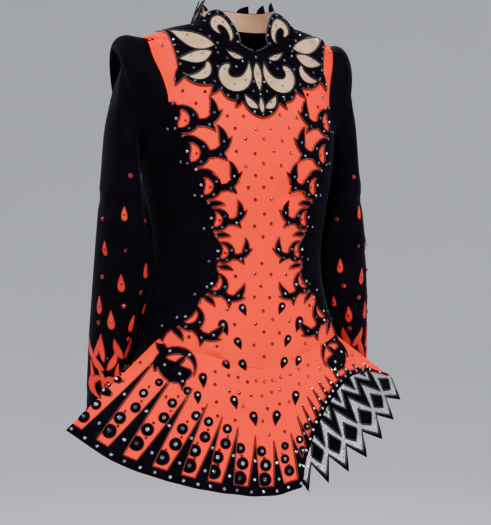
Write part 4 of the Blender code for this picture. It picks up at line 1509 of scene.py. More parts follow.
@dataclass
class Yoke:
    """The scalloped velvet yoke over the shoulders, with nude satin in its windows."""

    focus: Chart = (44, -39)
    fronds: tuple[Frond, ...] = rows_of(
        Frond, (20, 14, 74, 21), (-13, 18, 64, 17))
    scrolls: tuple[Stroke, ...] = rows_of(
        Stroke, (11, -55, -88, 84, 268, 21, 1.6), (97, -77, 190, 42, -132, 12.5, 1.6))
    thorns: tuple[Stroke, ...] = rows_of(
        Stroke, (38, -120, 130, 28, -30, 10), (70, -103, 140, 28, -35, 11), (112, -90, 118, 30, -20, 11))
    lining: tuple[Chart, ...] = (
        (0, -130), (14, -125), (23, -116), (29, -108), (46, -103), (57, -86), (84, -87), (97, -81),
        (105, -68), (118, -6), (119, 20))
    gem_pitch: float = 11.5
    gem_inset: float = 3.6
    gem_lines: tuple[float, ...] = (84, 39, 3, -32)
    gem_reaches: tuple[float, ...] = (12, 25, 38, 52, 66, 80)
    gem_places: tuple[Chart, ...] = (
        (0, -50), (8, -60), (20, -56), (31, -51), (30, -64), (42, -52), (56, -64), (57, -78), (0, -101),
        (10, -97), (8, -84), (34, -104), (54, -94), (72, -68), (86, -72), (27, -33), (38, -22), (80, -8))
    satin_gems: tuple[Chart, ...] = ((14, -111), (30, -46), (0, -72), (0, -84), (0, -113))

    def edge(self) -> Outline:
        """Return the left half of the velvet's edge: lobes from the point up to the shoulder."""
        return (arc((0, -133), (27, -110), -0.16) + arc((27, -110), (56, -86), -0.3)
                + arc((56, -86), (107, -70), -0.22, 12) + arc((107, -70), (122, -6), 0.04) + [(124, 20)])

    def shapes(self) -> list[Outline]:
        """Return the velvet's outline, and the small points that stand out between its lobes."""
        left = self.edge()
        points = [thorn.outline() for thorn in self.thorns]
        return [left + [(-x, z) for x, z in reversed(left[1:])], *points, *mirrored(points)]

    def frond_place(self, frond: Frond, share: float) -> Chart:
        """Return a place along a frond's middle."""
        return toward(frond.turn, mix(frond.near, frond.far, share), self.focus)

    def windows(self) -> list[Outline]:
        """Return the windows in the velvet.

        Returns:
            Leaves fanned over each shoulder, curls below them, and drops down the middle.
        """
        left = [leaf(self.frond_place(frond, 0), self.frond_place(frond, 1), frond.width, -0.07)
                for frond in self.fronds]
        left += [scroll.outline() for scroll in self.scrolls]
        left += [leaf((5, -120), (23, -101), 11, -0.12), leaf((18, -51), (42, -40), 8, -0.1)]
        return left + mirrored(left) + [leaf((0, -56), (0, -98), 12, 0), leaf((0, -127), (0, -103), 8, 0)]

    def build(self, grid: Grid, keep: Test) -> list[Piece]:
        """Make the yoke.

        Args:
            grid: The front panel.
            keep: Tells whether the front panel is there.

        Returns:
            Its pieces.
        """
        shapes, windows = self.shapes(), self.windows()
        behind = [[*self.lining, *((-x, z) for x, z in reversed(self.lining[1:]))]]
        satin = place_piece(cut("yoke_satin_cloth", grid, behind, [], SEAM_GAP, SATIN), NUDE, ["yoke_satin"])
        velvet = place_piece(cut("yoke_velvet_cloth", grid, shapes, windows, 2 * SEAM_GAP + SATIN, APPLIQUE),
                             VELVET, ["yoke_velvet"])
        trim = Trim("yoke", FRONT)
        trim.stitch("edge", EDGE_SHADE_THREAD, shapes, [], ON_YOKE, keep)
        trim.stitch("window_edges", BLACK_THREAD, [], windows, ON_YOKE, keep)
        self.set_gems(trim, keep)
        return [satin, velvet, *trim.pieces()]

    def edge_places(self) -> list[Chart]:
        """Return the places of the crystals along the velvet's edge.

        Returns:
            Evenly spaced places just inside the left half of the edge.
        """
        edge = [place for place in self.edge() if place[1] < -6]
        places, run = [(0, -129)], 0.0
        for start, end in zip(edge, edge[1:]):
            length = math.dist(start, end)
            run += length
            if run > self.gem_pitch:
                aside = ((start[1] - end[1]) / length, (end[0] - start[0]) / length)
                places.append((end[0] + self.gem_inset * aside[0], end[1] + self.gem_inset * aside[1]))
                run = 0.0
        return places

    def set_gems(self, trim: Trim, keep: Test) -> None:
        """Set crystals along the velvet's stems and edge, and in the middle of the windows.

        Args:
            trim: Where they are gathered.
            keep: Tells whether the front panel is there.
        """
        openings = [Shape(outline) for outline in self.windows()]

        def clear(spot: Chart) -> bool:
            """Return whether a place is on the velvet."""
            return keep(spot) and not any(shape.holds(spot) for shape in openings)

        places = self.edge_places()
        places += [toward(turn, reach, self.focus) for turn in self.gem_lines for reach in self.gem_reaches]
        for x, z in [*places, *self.gem_places]:
            for hand in (1, -1) if x else (1,):
                if all(map(clear, ring((hand * x, z), 2.0, 6))):
                    trim.gem((hand * x, z), ON_YOKE, SMOKE_GEM, 2.0)
        warm = [self.frond_place(frond, share) for frond in self.fronds for share in (0.3, 0.62)]
        warm += [self.scrolls[0].spine(share) for share in (0.3, 0.55, 0.85)]
        for x, z in [*warm, self.scrolls[1].spine(0.6), *self.satin_gems]:
            for hand in (1, -1) if x else (1,):
                if keep((hand * x, z)):
                    trim.gem((hand * x, z), SEAM_GAP + SATIN, HONEY_GEM, 1.9)


@dataclass
class SideBands:
    """The velvet bands of leaves and curls beside the princess seams."""

    top: float = -118
    foot: float = -428
    inset: float = 12
    sizes: tuple[float, ...] = (0.93, 0.97, 0.87, 0.74, 0.7, 0.76, 0.86)
    strokes: tuple[Stroke, ...] = rows_of(
        Stroke, (16, 24, 172, 80, 262, 13, 1.25), (-40, 32, -112, 42, 62, 13, 0.8),
        (-54, 10, -40, 44, 36, 12), (-36, -20, 72, 30, -60, 11), (-14, -30, 38, 30, -50, 10))

    def place(self, inward: float, height: float) -> Chart:
        """Return the place a distance in from the wearer's left princess seam."""
        return (FORM.princess.at("reach", height) - inward, height)

    def motifs(self) -> list[tuple[Chart, float, float]]:
        """Return where the motifs are.

        Returns:
            The middle, the tilt and the size of every motif; all lean with the seam.
        """
        found, pitch = [], (self.top - self.foot) / len(self.sizes)
        for index, size in enumerate(self.sizes):
            middle = self.place(self.inset, self.top - pitch * (index + 0.5))
            above, below = self.place(0, middle[1] + 20), self.place(0, middle[1] - 20)
            tilt = math.degrees(math.atan2(below[0] - above[0], above[1] - below[1]))
            found.append((middle, tilt, size))
        return found

    def shapes(self) -> list[Outline]:
        """Return the left band.

        Returns:
            A wavy stem on the seam, and the arching curls and leaves at every bend.
        """
        steps = shares(8 * len(self.sizes))
        heights = [mix(self.top + 6, self.foot - 6, share) for share in steps]
        inner = [self.place(6 + 4 * math.sin(math.tau * len(self.sizes) * share), height)
                 for share, height in zip(steps, heights)]
        found = [[self.place(-15, height) for height in heights[::3]] + inner[::-1]]
        return found + [stroke.outline(*motif) for motif in self.motifs() for stroke in self.strokes]

    def build(self, grid: Grid, keep: Test) -> list[Piece]:
        """Make both bands.

        Args:
            grid: The front panel.
            keep: Tells whether the front panel is there.

        Returns:
            Their pieces.
        """
        made = []
        for hand in Hand:
            shapes = self.shapes() if hand is Hand.LEFT else mirrored(self.shapes())
            band = cut(f"band_velvet_{hand.word}", grid, shapes, [], SEAM_GAP, APPLIQUE)
            made.append(place_piece(band, VELVET, [f"side_band_{hand.word}"]))
            trim = Trim(f"band_{hand.word}", FRONT)
            trim.stitch("edge", EDGE_SHADE_THREAD, shapes, [], ON_CLOTH, keep)
            self.set_gems(trim, hand)
            made += trim.pieces()
        return made

    def set_gems(self, trim: Trim, hand: Hand) -> None:
        """Set crystals up the stem and in the leaves of one band, and a flame one in every arch.

        Args:
            trim: Where they are gathered.
            hand: The band's side.
        """
        marks = ((0, 0.44), (0, 0.68), (0, 0.9), (1, 0.6), (3, 0.42))
        for motif in self.motifs():
            for stroke, share in marks:
                x, z = self.strokes[stroke].spine(share, *motif)
                trim.gem((hand.value * x, z), ON_CLOTH, SMOKE_GEM, 2.0)
            for inward, up, finish in ((4, 26, SMOKE_GEM), (3, 6, CLEAR_GEM), (-9, -8, SMOKE_GEM)):
                x, z = self.place(inward, motif[0][1] + up)
                trim.gem((hand.value * x, z), ON_CLOTH, finish, 2.1)
            x, z = motif[0]
            trim.gem((hand.value * x, z + 3), ON_BARE, AMBER_GEM, 1.9)


@dataclass
class Bodice:
    """The orange front panel with its yoke and bands, and the velvet side and back panels."""

    yoke: Yoke = field(default_factory=Yoke)
    bands: SideBands = field(default_factory=SideBands)
    front_levels: tuple[Level, ...] = rows_of(
        Level, (-45, 0, 2), (-56, -13, 3.2), (-63, -22, 2.8), (-69, None, 2.5), (-80, None, 2.2),
        (-98, None, 2), (-121, None, 2), (-172, -170, 2), (-228, -226, 2), (-285, -285, 2),
        (-335, -332, 2), (-385, -373, 2), (-430, -408, 2), (-472, -437, 2))
    back_levels: tuple[Level, ...] = rows_of(
        Level, (5, 0, 4), (-12, -13, 2), (-22, -22, 2), (-30, None, 2), (-50, None, 2), (-79, None, 2),
        (-112, None, 2), (-142, None, 2), (-163, None, 2), (-172, None, 2), (-205, -203, 2),
        (-245, -245, 2), (-288, -288, 2), (-332, -332, 2), (-376, -373, 2), (-412, -408, 2),
        (-446, -437, 2))
    front_columns: int = 40
    back_columns: int = 22
    side_columns: int = 12
    rows_a_level: int = 4
    gem_pitch: float = 20.5
    drops: tuple[Chart, ...] = ((32, -384), (40, -429), (57, -459), (34, -459), (60, -405))
    drop_sizes: tuple[float, ...] = (17, 17, 16, 18, 22)

    def rows(self, levels: Sequence[Level]) -> list[float]:
        """Return the places of a panel's fine rows among its levels, with none just under the shoulder."""
        count = (len(levels) - 1) * self.rows_a_level
        places = [row / self.rows_a_level for row in range(count + 1)]
        return [place for place in places if not SHOULDER_ROWS < place < SHOULDER_ROWS + 1]

    def front_grid(self) -> Grid:
        """Return the front panel's grid.

        Returns:
            Its rows, from the neckline down to the hip seam.
        """
        rows, places = [], self.rows(self.front_levels)
        for place in places:
            inner, edge, power = level_at(self.front_levels, place)
            shift = {places[0]: -SEAM_GAP / 2, places[-1]: SEAM_GAP / 2}.get(place, 0)
            turn = FORM.inset(FORM.front_edge(edge), edge, -1)
            rows.append([])
            for across in (mix(-1, 1, share) for share in shares(self.front_columns)):
                height = mix(edge, inner, math.cos(across * math.pi / 2) ** power)
                height = mix(FORM.neck_height(across * turn), height, min(place, 1))
                rows[-1].append(FORM.spot(across * turn, height + shift))
        return Grid(rows)

    def back_grid(self) -> Grid:
        """Return the left back panel's grid.

        Returns:
            Its rows, each from the side seam or the armhole to the zip.
        """
        rows, places = [], self.rows(self.back_levels)
        for place in places:
            inner, edge, power = level_at(self.back_levels, place)
            shift = {places[0]: -SEAM_GAP / 2, places[-1]: SEAM_GAP / 2}.get(place, 0)
            start = FORM.inset(FORM.armhole_angle(edge, False), edge, 1)
            end = FORM.inset(180, inner, -1)
            rows.append([FORM.spot(mix(start, end, share),
                                   mix(edge, inner, math.sin(share * math.pi / 2) ** power) + shift)
                         for share in shares(self.back_columns)])
        return Grid(rows)

    def side_grid(self) -> Grid:
        """Return the left side panel's grid.

        Returns:
            Its rows, each from the princess seam to the side seam.
        """
        first, steps = FORM.princess_step, FORM.armhole_steps - FORM.princess_step
        rows, count = [], (len(self.front_levels) - 1 - SHOULDER_ROWS - first) * self.rows_a_level
        tops = [FORM.armhole_height(first + steps * share) for share in shares(self.side_columns)]
        turns = [FORM.armhole_angle(height, True) for height in tops]
        for row in range(count + 1):
            place = row / self.rows_a_level
            front = level_at(self.front_levels, SHOULDER_ROWS + first + place)[1]
            side = level_at(self.back_levels, SHOULDER_ROWS + FORM.armhole_steps + place)[1]
            start = FORM.inset(FORM.front_edge(front), front, 1)
            end = FORM.inset(90, side, -1)
            evenness = min(place / 3, 1)
            shift = SEAM_GAP / 2 if row == count else 0
            rows.append([])
            for column, even in enumerate(shares(self.side_columns)):
                drop = mix((tops[column] - tops[0]) / (tops[-1] - tops[0]), even, evenness)
                turn = mix((turns[column] - turns[0]) / (turns[-1] - turns[0]), even, evenness)
                rows[-1].append(FORM.spot(mix(start, end, turn), mix(front, side, drop) + shift))
        return Grid(rows)

    def scatter_gems(self, trim: Trim, keep: Test, covers: list[Shape]) -> None:
        """Scatter flame-coloured crystals over the open orange, in staggered rows.

        Args:
            trim: Where the crystals are gathered.
            keep: Tells whether the front panel is there.
            covers: Outlines of everything that lies on the panel.
        """
        row, height = 0, -64.0
        while height > FORM.hip_centre:
            shift = 0.5 if row % 2 else 0.0
            for column in range(-7, 8):
                x = (column + shift) * self.gem_pitch * 1.25 + trim.dice.uniform(-2.5, 2.5)
                place = (x, height + trim.dice.uniform(-3, 3))
                near = [place] + ring(place, 6, 8)
                if all(map(keep, near)) and not any(cover.holds(spot) for cover in covers for spot in near):
                    trim.gem(place, ON_BARE, AMBER_GEM, 2.5)
            row += 1
            height -= self.gem_pitch * 0.8

    def lay_drops(self, trim: Trim) -> None:
        """Lay the pairs of small velvet drops low on the front."""
        for (x, z), size in zip(self.drops, self.drop_sizes):
            for hand in Hand:
                trim.drop((hand.value * x, z), size, -90 - 32 * hand.value)

    def build(self) -> None:
        """Make the bodice."""
        grid = self.front_grid()
        border = grid.border()
        front = place_piece(grid_wall("front_cloth", grid, CLOTH), ORANGE, ["front_panel"])
        pieces = self.yoke.build(grid, border.holds) + self.bands.build(grid, border.holds)
        trim = Trim("front", FRONT)
        bands = self.bands.shapes()
        covers = [Shape(outline) for outline in [*self.yoke.shapes(), *bands, *mirrored(bands)]]
        self.lay_drops(trim)
        covers += [Shape(ring((hand.value * x, z - 5), 11, 12)) for hand in Hand for x, z in self.drops]
        self.scatter_gems(trim, border.holds, covers)
        pieces + trim.pieces()
        for hand in Hand:
            side = grid_wall(f"side_cloth_{hand.word}", self.side_grid().handed(hand), CLOTH)
            place_piece(side, VELVET, [f"side_panel_{hand.word}"])
            back = grid_wall(f"back_cloth_{hand.word}", self.back_grid().handed(hand), CLOTH)
            place_piece(back, VELVET, [f"back_panel_{hand.word}"])


# ---------------------------------------------------------------- collar

class CollarForm(Surface):
    """The left half of the collar: across is a length round the neck, up is a height over its seam."""

    radius = 64
    top = 37

    def point(self, across: float, up: float) -> Vector:
        """Return the collar's point, on a straight slope from its seam up to the neck.

        Args:
            across: Length round the neck.
            up: Height over the seam.

        Returns:
            The point.
        """
        angle = math.degrees(across / self.radius)
        foot = FORM.neck_height(angle)
        low, high = FORM.point(angle, foot), FORM.point(angle, foot + self.top)
        return low + (high - low) * (up / self.top)


@dataclass
class Collar:
    """The stand-up collar: a band with a round lobe in front and pointed leaves behind."""

    lobe: Chart = (42, 13)
    lobe_radius: float = 22.5
    scroll: Stroke = Stroke(32, 3, 104, 54, -300, 12.5, 1.4)
    leaf_places: tuple[float, ...] = (102, 136, 170)
    lobe_gems: tuple[float, ...] = (-10, 22, 56, 90, 124, 158, 190)
    gem_inset: float = 2.7
    columns: int = 44
    rows: int = 10

    def shapes(self) -> list[Outline]:
        """Return the band and the round front lobe."""
        end = math.pi * CollarForm.radius + 1
        band = [(-1, -1), (end, -1), (end, 26), (88, 25), (70, 14), (22, 9), (-1, 4)]
        return [band, ring(self.lobe, self.lobe_radius)]

    def points(self) -> list[Outline]:
        """Return the leaf points of the velvet."""
        return [leaf((base, 10), (base - 13, 36), 19, -0.1) for base in self.leaf_places]

    def windows(self) -> list[Outline]:
        """Return the windows in the velvet, through which the satin shows."""
        leaves = [leaf((base, 4), (base - 8, 26), 10, -0.12) for base in self.leaf_places[:2]]
        return [self.scroll.outline(), *leaves]

    def build(self) -> None:
        """Make both halves of the collar."""
        form = CollarForm()
        end = math.pi * form.radius
        acrosses = [mix(SEAM_GAP / 2, end - SEAM_GAP / 2, share) for share in shares(self.columns)]
        half = Grid.over(form, [mix(form.top, SEAM_GAP / 2, share) for share in shares(self.rows)], acrosses)
        angles = [math.degrees(across / form.radius) for across in acrosses]
        seam = [Spot(spot.point, FORM.spot(angle, FORM.neck_height(angle)).normal, spot.chart)
                for spot, angle in zip(half.rows[-1], angles)]
        half = Grid([*half.rows[:-1], seam])
        for hand in Hand:
            grid = half.handed(hand)
            shapes, points, windows = self.shapes(), self.points(), self.windows()
            if hand is Hand.RIGHT:
                shapes, points, windows = mirrored(shapes), mirrored(points), mirrored(windows)
            satin = place_piece(cut(f"collar_lining_{hand.word}", grid, shapes, [], -SATIN, SATIN),
                                NUDE, [f"collar_satin_{hand.word}"])
            shapes += points
            velvet = place_piece(cut(f"collar_top_{hand.word}", grid, shapes, windows, SEAM_GAP, APPLIQUE),
                                 VELVET, [f"collar_velvet_{hand.word}"])
            trim = Trim(f"collar_{hand.word}", handed(form, hand))
            trim.stitch("edge", BLACK_THREAD, shapes, windows, ON_CLOTH, grid.border().holds)
            self.set_gems(trim, hand)
            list(trim.pieces())

    def set_gems(self, trim: Trim, hand: Hand) -> None:
        """Set crystals round the lobe, along the band and in the windows.

        Args:
            trim: Where they are gathered.
            hand: The side.
        """
        places = [toward(turn, self.lobe_radius - self.gem_inset, self.lobe) for turn in self.lobe_gems]
        places += [(base + 10, 14) for base in (68, *self.leaf_places)]
        places += [(base - 8, 29) for base in self.leaf_places]
        for x, up in places:
            trim.gem((hand.value * x, up), ON_CLOTH, SMOKE_GEM, 2.0)
        for x, up in [*map(self.scroll.spine, (0.3, 0.5, 0.7)), (98, 14), (132, 14)]:
            trim.gem((hand.value * x, up), 0, HONEY_GEM, 1.8)


# ---------------------------------------------------------------- sleeves

class SleeveForm(Surface):
    """The left sleeve: across is an angle from its outer side to the back, and up counts rings down."""

    step = 0.02
    sides = 14
    tuck_depth = 25
    tuck_ring = 4.6
    tuck_spread = 1.15
    tuck_turn = 50
    girth = 0.84    # millimetres round the sleeve per degree, on the chart of its creases
    rings = Table(
        "station outer_x outer_z inner_x inner_z half_depth middle_y",
        (0, 147, -19, 142.5, -170, 55, 6), (1, 160, -17, 144, -173, 56, 10),
        (2, 171, -21, 144.5, -177, 55, 14), (3, 178, -33, 144.5, -183, 54, 17),
        (4, 177, -47, 144.5, -191, 52, 19), (5, 180, -68, 144, -203, 51, 20),
        (6, 188, -125, 139, -238, 51, 15), (7, 194, -210, 131, -285, 52, 10),
        (8, 203, -300, 125, -340, 51, 7), (9, 209, -383, 135, -392, 48, 10),
        (10, 212, -440, 149, -436, 43, 15), (11, 214, -495, 156, -482, 39, 18),
        (12, 215, -550, 158, -540, 38, 19))
    creases = rows_of(
        Crease, ((-70, -250), (-10, -285), 3.0, 7.0, 5), ((-95, -300), (-28, -322), 2.6, 7.0, -4),
        ((-60, -330), (12, -352), 2.2, 6.5, 5), ((-20, -290), (40, -262), 2.4, 7.0, 4),
        ((30, -330), (100, -300), 3.2, 8.0, 6), ((20, -372), (96, -352), 2.4, 7.0, -5),
        ((-88, -392), (-30, -404), 1.6, 6.0, 3), ((-40, -150), (22, -185), 2.4, 8.0, 4),
        ((-84, -176), (-34, -150), 2.2, 7.0, -4), ((36, -200), (92, -176), 2.0, 7.0, 4),
        ((44, -432), (98, -450), 1.8, 6.0, 3), ((-30, -500), (28, -512), 1.2, 6.0, 2),
        ((-134, -140), (-130, -352), -4.8, 13.0, 3), ((-132, -380), (-128, -500), -6.0, 13.0, -2))

    def seam(self, across: float) -> Vector:
        """Return the armhole's point at an angle.

        Args:
            across: The angle.

        Returns:
            The point, a seam's gap out from the body.
        """
        side = across / 360 * self.sides % self.sides
        step = min(side, self.sides - side)
        height = FORM.armhole_height(step)
        point = FORM.point(FORM.armhole_angle(height, side > FORM.armhole_steps), height)
        return point + Vector((SEAM_GAP, 0, 0))

    def ring_point(self, across: float, station: float) -> Vector:
        """Return a point below the seam.

        Args:
            across: Its angle.
            station: Its ring, or a place between two.

        Returns:
            The point, with the fold under the arm and the creases.
        """
        value = {column: self.rings.at(column, station) for column in self.rings.columns}
        turn = math.radians(-across)
        along, aside = math.cos(turn), math.sin(turn)
        tuck = (self.tuck_depth * math.exp(-((station - self.tuck_ring) / self.tuck_spread) ** 2)
                * max(math.cos(turn + math.radians(self.tuck_turn)), 0))
        middle_z = (value["outer_z"] + value["inner_z"]) / 2
        around = ((across + 180) % 360 - 180) * self.girth
        fold = total_relief(self.creases, around, middle_z)
        half_width = (value["outer_x"] - value["inner_x"]) / 2 + fold
        return Vector((value["outer_x"] - half_width + fold + half_width * along - tuck,
                       value["middle_y"] - (value["half_depth"] + fold) * aside,
                       middle_z + (value["outer_z"] - value["inner_z"]) / 2 * along))

    def point(self, across: float, up: float) -> Vector:
        """Return the sleeve's point, blending from the armhole seam into the first ring.

        Args:
            across: Its angle.
            up: Minus its ring; 1 at the armhole.

        Returns:
            The point.
        """
        station = -up
        if station >= 0:
            return self.ring_point(across, station)
        first, near, far = self.seam(across), self.ring_point(across, 0), self.ring_point(across, 1)
        t = station + 1
        rise, run = near - first, (far - first) / 2
        return (first * (2 * t ** 3 - 3 * t ** 2 + 1) + rise * (t ** 3 - 2 * t ** 2 + t)
                + near * (3 * t ** 2 - 2 * t ** 3) + run * (t ** 3 - t ** 2))


@dataclass(frozen=True)
class SleeveMark:
    """A motif on the sleeve: its turn from the outer side to the front, its height and its size."""

    turn: float
    height: float
    size: float


@dataclass
class Sleeves:
    """The velvet sleeves, with satin flames and dots that grow into a spray at the cuff."""

    columns: int = 72
    rows_a_ring: int = 6
    first: float = -0.97
    last: float = 11.98
    allowance_spread: float = 1.12
    dots: tuple[SleeveMark, ...] = rows_of(
        SleeveMark, (79, -219, 3.2), (16, -294, 3.2), (126, -250, 3.2), (71, -317, 3.2), (28, -357, 3.4),
        (113, -365, 3.4), (80, -387, 3.4), (29, -411, 3.4), (110, -433, 3.4))
    drops: tuple[SleeveMark, ...] = rows_of(
        SleeveMark, (66, -275, 18), (30, -326, 19), (118, -332, 19), (70, -360, 22), (28, -391, 23),
        (138, -390, 14), (60, -408, 24), (110, -412, 23))

    def station(self, form: SleeveForm, height: float) -> float:
        """Return the ring whose middle is at a height.

        Args:
            form: The sleeve's form.
            height: The height.

        Returns:
            The ring, or the place between two, found by halving.
        """
        low, high = 0.0, 12.0
        for _ in range(30):
            middle = (low + high) / 2
            level = (form.rings.at("outer_z", middle) + form.rings.at("inner_z", middle)) / 2
            low, high = (middle, high) if level > height else (low, middle)
        return low

    def allowance_grid(self, form: SleeveForm) -> Grid:
        """Return the left armhole's seam allowance.

        Args:
            form: The sleeve's form.

        Returns:
            Three rounds, from inside the panels, over the seam, to inside the sleeve.
        """
        middle = mix(FORM.armhole_height(0), FORM.armhole_height(form.sides / 2), 0.5)
        rows: list[list[Spot]] = [[], [], []]
        for column in range(self.columns):
            side = column / self.columns * form.sides
            height = FORM.armhole_height(min(side, form.sides - side))
            turn = FORM.armhole_angle(height, side > form.sides / 2)
            for row, grown in enumerate((self.allowance_spread, 1.0)):
                spot = FORM.spot(90 + (turn - 90) * grown, middle + (height - middle) * grown)
                rows[row].append(Spot(spot.raised(-CLOTH - SEAM_GAP), spot.normal, (column, row)))
            sleeve = form.spot(360 * column / self.columns, 0.7)
            rows[2].append(Spot(sleeve.raised(-CLOTH - SEAM_GAP), sleeve.normal, (column, 2)))
        return Grid(rows, closed=True)

    def build(self) -> None:
        """Make both sleeves."""
        form = SleeveForm()
        seam = self.allowance_grid(form)
        stations = [-1 + row / self.rows_a_ring for row in range(13 * self.rows_a_ring + 1)]
        rows = [[form.spot(360 * column / self.columns, -min(max(station, self.first), self.last))
                 for column in range(self.columns)] for station in stations]
        left = Grid(rows, closed=True)
        for hand in Hand:
            sleeve = grid_wall(f"sleeve_cloth_{hand.word}", left.handed(hand), CLOTH)
            place_piece(sleeve, VELVET, [f"sleeve_{hand.word}"])
            inside = grid_wall(f"sleeve_allowance_{hand.word}", seam.handed(hand), SATIN)
            place_piece(inside, VELVET)
            trim = Trim(f"sleeve_{hand.word}", handed(form, hand))
            for dot in self.dots:
                place = (-hand.value * dot.turn, -self.station(form, dot.height))
                trim.disc("dot_edges", RED_SATIN, place, dot.size, 0.6, 16)
                trim.gem(place, 0.6, AMBER_GEM, dot.size * 0.72)
            for drop in self.drops:
                place = (-hand.value * drop.turn, -self.station(form, drop.height))
                upright = trim.surface.upright(place)
                start, heading = toward(upright, -0.45 * drop.size), upright - 7 * hand.value
                self.lay_flame(trim, place, Blade(BladeForm.DROP, start, heading, drop.size,
                                                  drop.size * 0.4, 16 * hand.value))
                trim.gem(place, 1.0, AMBER_GEM, 1.7)
            self.lay_spray(trim, form, hand)
            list(trim.pieces())

    @staticmethod
    def lay_flame(trim: Trim, place: Chart, blade: Blade) -> None:
        """Lay a satin blade with a red stitched edge."""
        blade.lay(trim.stock("flame_edges", RED_SATIN), trim.surface, place, grow=0.9, high=0.6)
        blade.lay(trim.stock("flames", FLAME), trim.surface, place, high=0.95)

    def lay_spray(self, trim: Trim, form: SleeveForm, hand: Hand) -> None:
        """Lay the spray of stems, leaves and curls above the cuff.

        Args:
            trim: Where it is gathered.
            form: The left sleeve's form.
            hand: The side.
        """
        leafy, curly = BladeForm.LEAF, BladeForm.CURL
        spray = (
            (66, -528, leafy, (0, 0), 100, 66, 7, -40), (66, -528, curly, (-4, 12), 150, 50, 9, -210),
            (66, -528, curly, (6, 18), 40, 46, 9, 210), (60, -470, leafy, (-2, -2), 140, 31, 9, -52),
            (60, -470, leafy, (4, -2), 42, 34, 9, 52), (60, -470, leafy, (1, 10), 84, 36, 7.5, 22),
            (24, -500, leafy, (0, 0), 96, 44, 8, -30), (24, -500, curly, (2, -2), 60, 38, 8, 220),
            (24, -458, leafy, (0, 2), 126, 29, 8, -36), (24, -458, leafy, (4, 2), 54, 29, 8, 36),
            (104, -506, leafy, (0, 0), 84, 42, 8, 30), (104, -506, curly, (-2, -2), 120, 38, 8, -220),
            (104, -462, leafy, (0, 2), 54, 30, 8, 38), (104, -462, leafy, (-4, 2), 130, 30, 8, -38))
        for turn, height, *blade in spray:
            place = (-hand.value * turn, -self.station(form, height))
            left = Blade(*blade)
            self.lay_flame(trim, place, left.mirrored() if hand is Hand.RIGHT else left)
        for turn, height in ((62, -492), (62, -456), (26, -478), (102, -484), (42, -520), (88, -520)):
            trim.gem((-hand.value * turn, -self.station(form, height)), 0.95, AMBER_GEM, 1.8)


# ---------------------------------------------------------------- skirt

class FanForm(Surface):
    """The stiff front skirt: across runs from -1 to 1, up from 0 at the hip to -1 at the hem."""

    step = 0.0005
    spread = 0.65
    hem = Table(
        "across x y z",
        (-1, -261, -45, -548), (-0.75, -208, -95, -585), (-0.5, -140, -125, -611),
        (-0.25, -72, -137, -629), (0, 0, -140, -638), (0.25, 70, -134, -622), (0.5, 136, -118, -596),
        (0.75, 197, -84, -557), (1, 245, -35, -515))
    wave_depth = 1.6

    def __init__(self) -> None:
        """Find the angle of its ends."""
        self.turn = FORM.front_edge(FORM.hip_side)

    def share(self, across: float) -> float:
        """Return the place along the hip seam of a place across the fan."""
        return self.spread * across + (1 - self.spread) * across ** 3

    def across_at(self, share: float) -> float:
        """Return the place across the fan of a place along the hip seam.

        Args:
            share: Place along the seam, from -1 to 1.

        Returns:
            The place across, found by Newton's steps.
        """
        across = share
        for _ in range(8):
            across -= (self.share(across) - share) / (self.spread + 3 * (1 - self.spread) * across ** 2)
        return across

    def point(self, across: float, up: float) -> Vector:
        """Return the fan's point, with the slight waves of its stiffened rays.

        Args:
            across: Place across.
            up: Place up; 0 at the hip.

        Returns:
            The point.
        """
        turn = self.turn * self.share(across)
        top = FORM.point(turn, FORM.hip_height(turn) - SEAM_GAP / 2)
        foot = Vector([self.hem.at(axis, across) for axis in "xyz"])
        down = -up
        bend = Vector((0, -1, 0)) * self.wave_depth * max(down, 0) ** 2 * math.cos(across * 47 - 0.6)
        return top + (foot - top) * down + bend


@dataclass(frozen=True)
class RayRun:
    """A run of pointed rays along the skirt's edge."""

    first: float
    pitch: float
    count: int
    length: float
    ratio: float
    share: float
    border: float


@dataclass(frozen=True)
class Tab:
    """A row of buttons down an orange tab: its place across, and the depth and radius of the lowest."""

    across: float
    lean: float
    count: int
    lowest: float
    pitch: float
    radius: float

    def place(self, button: int) -> Chart:
        """Return the place of a button, counted from the lowest."""
        return (self.across - self.lean * button, -(self.lowest - self.pitch * button))


@dataclass(frozen=True)
class SkirtDrop:
    """A velvet drop on the skirt: the place of its head, its length and where its tail points."""

    across: float
    down: float
    size: float
    heading: float


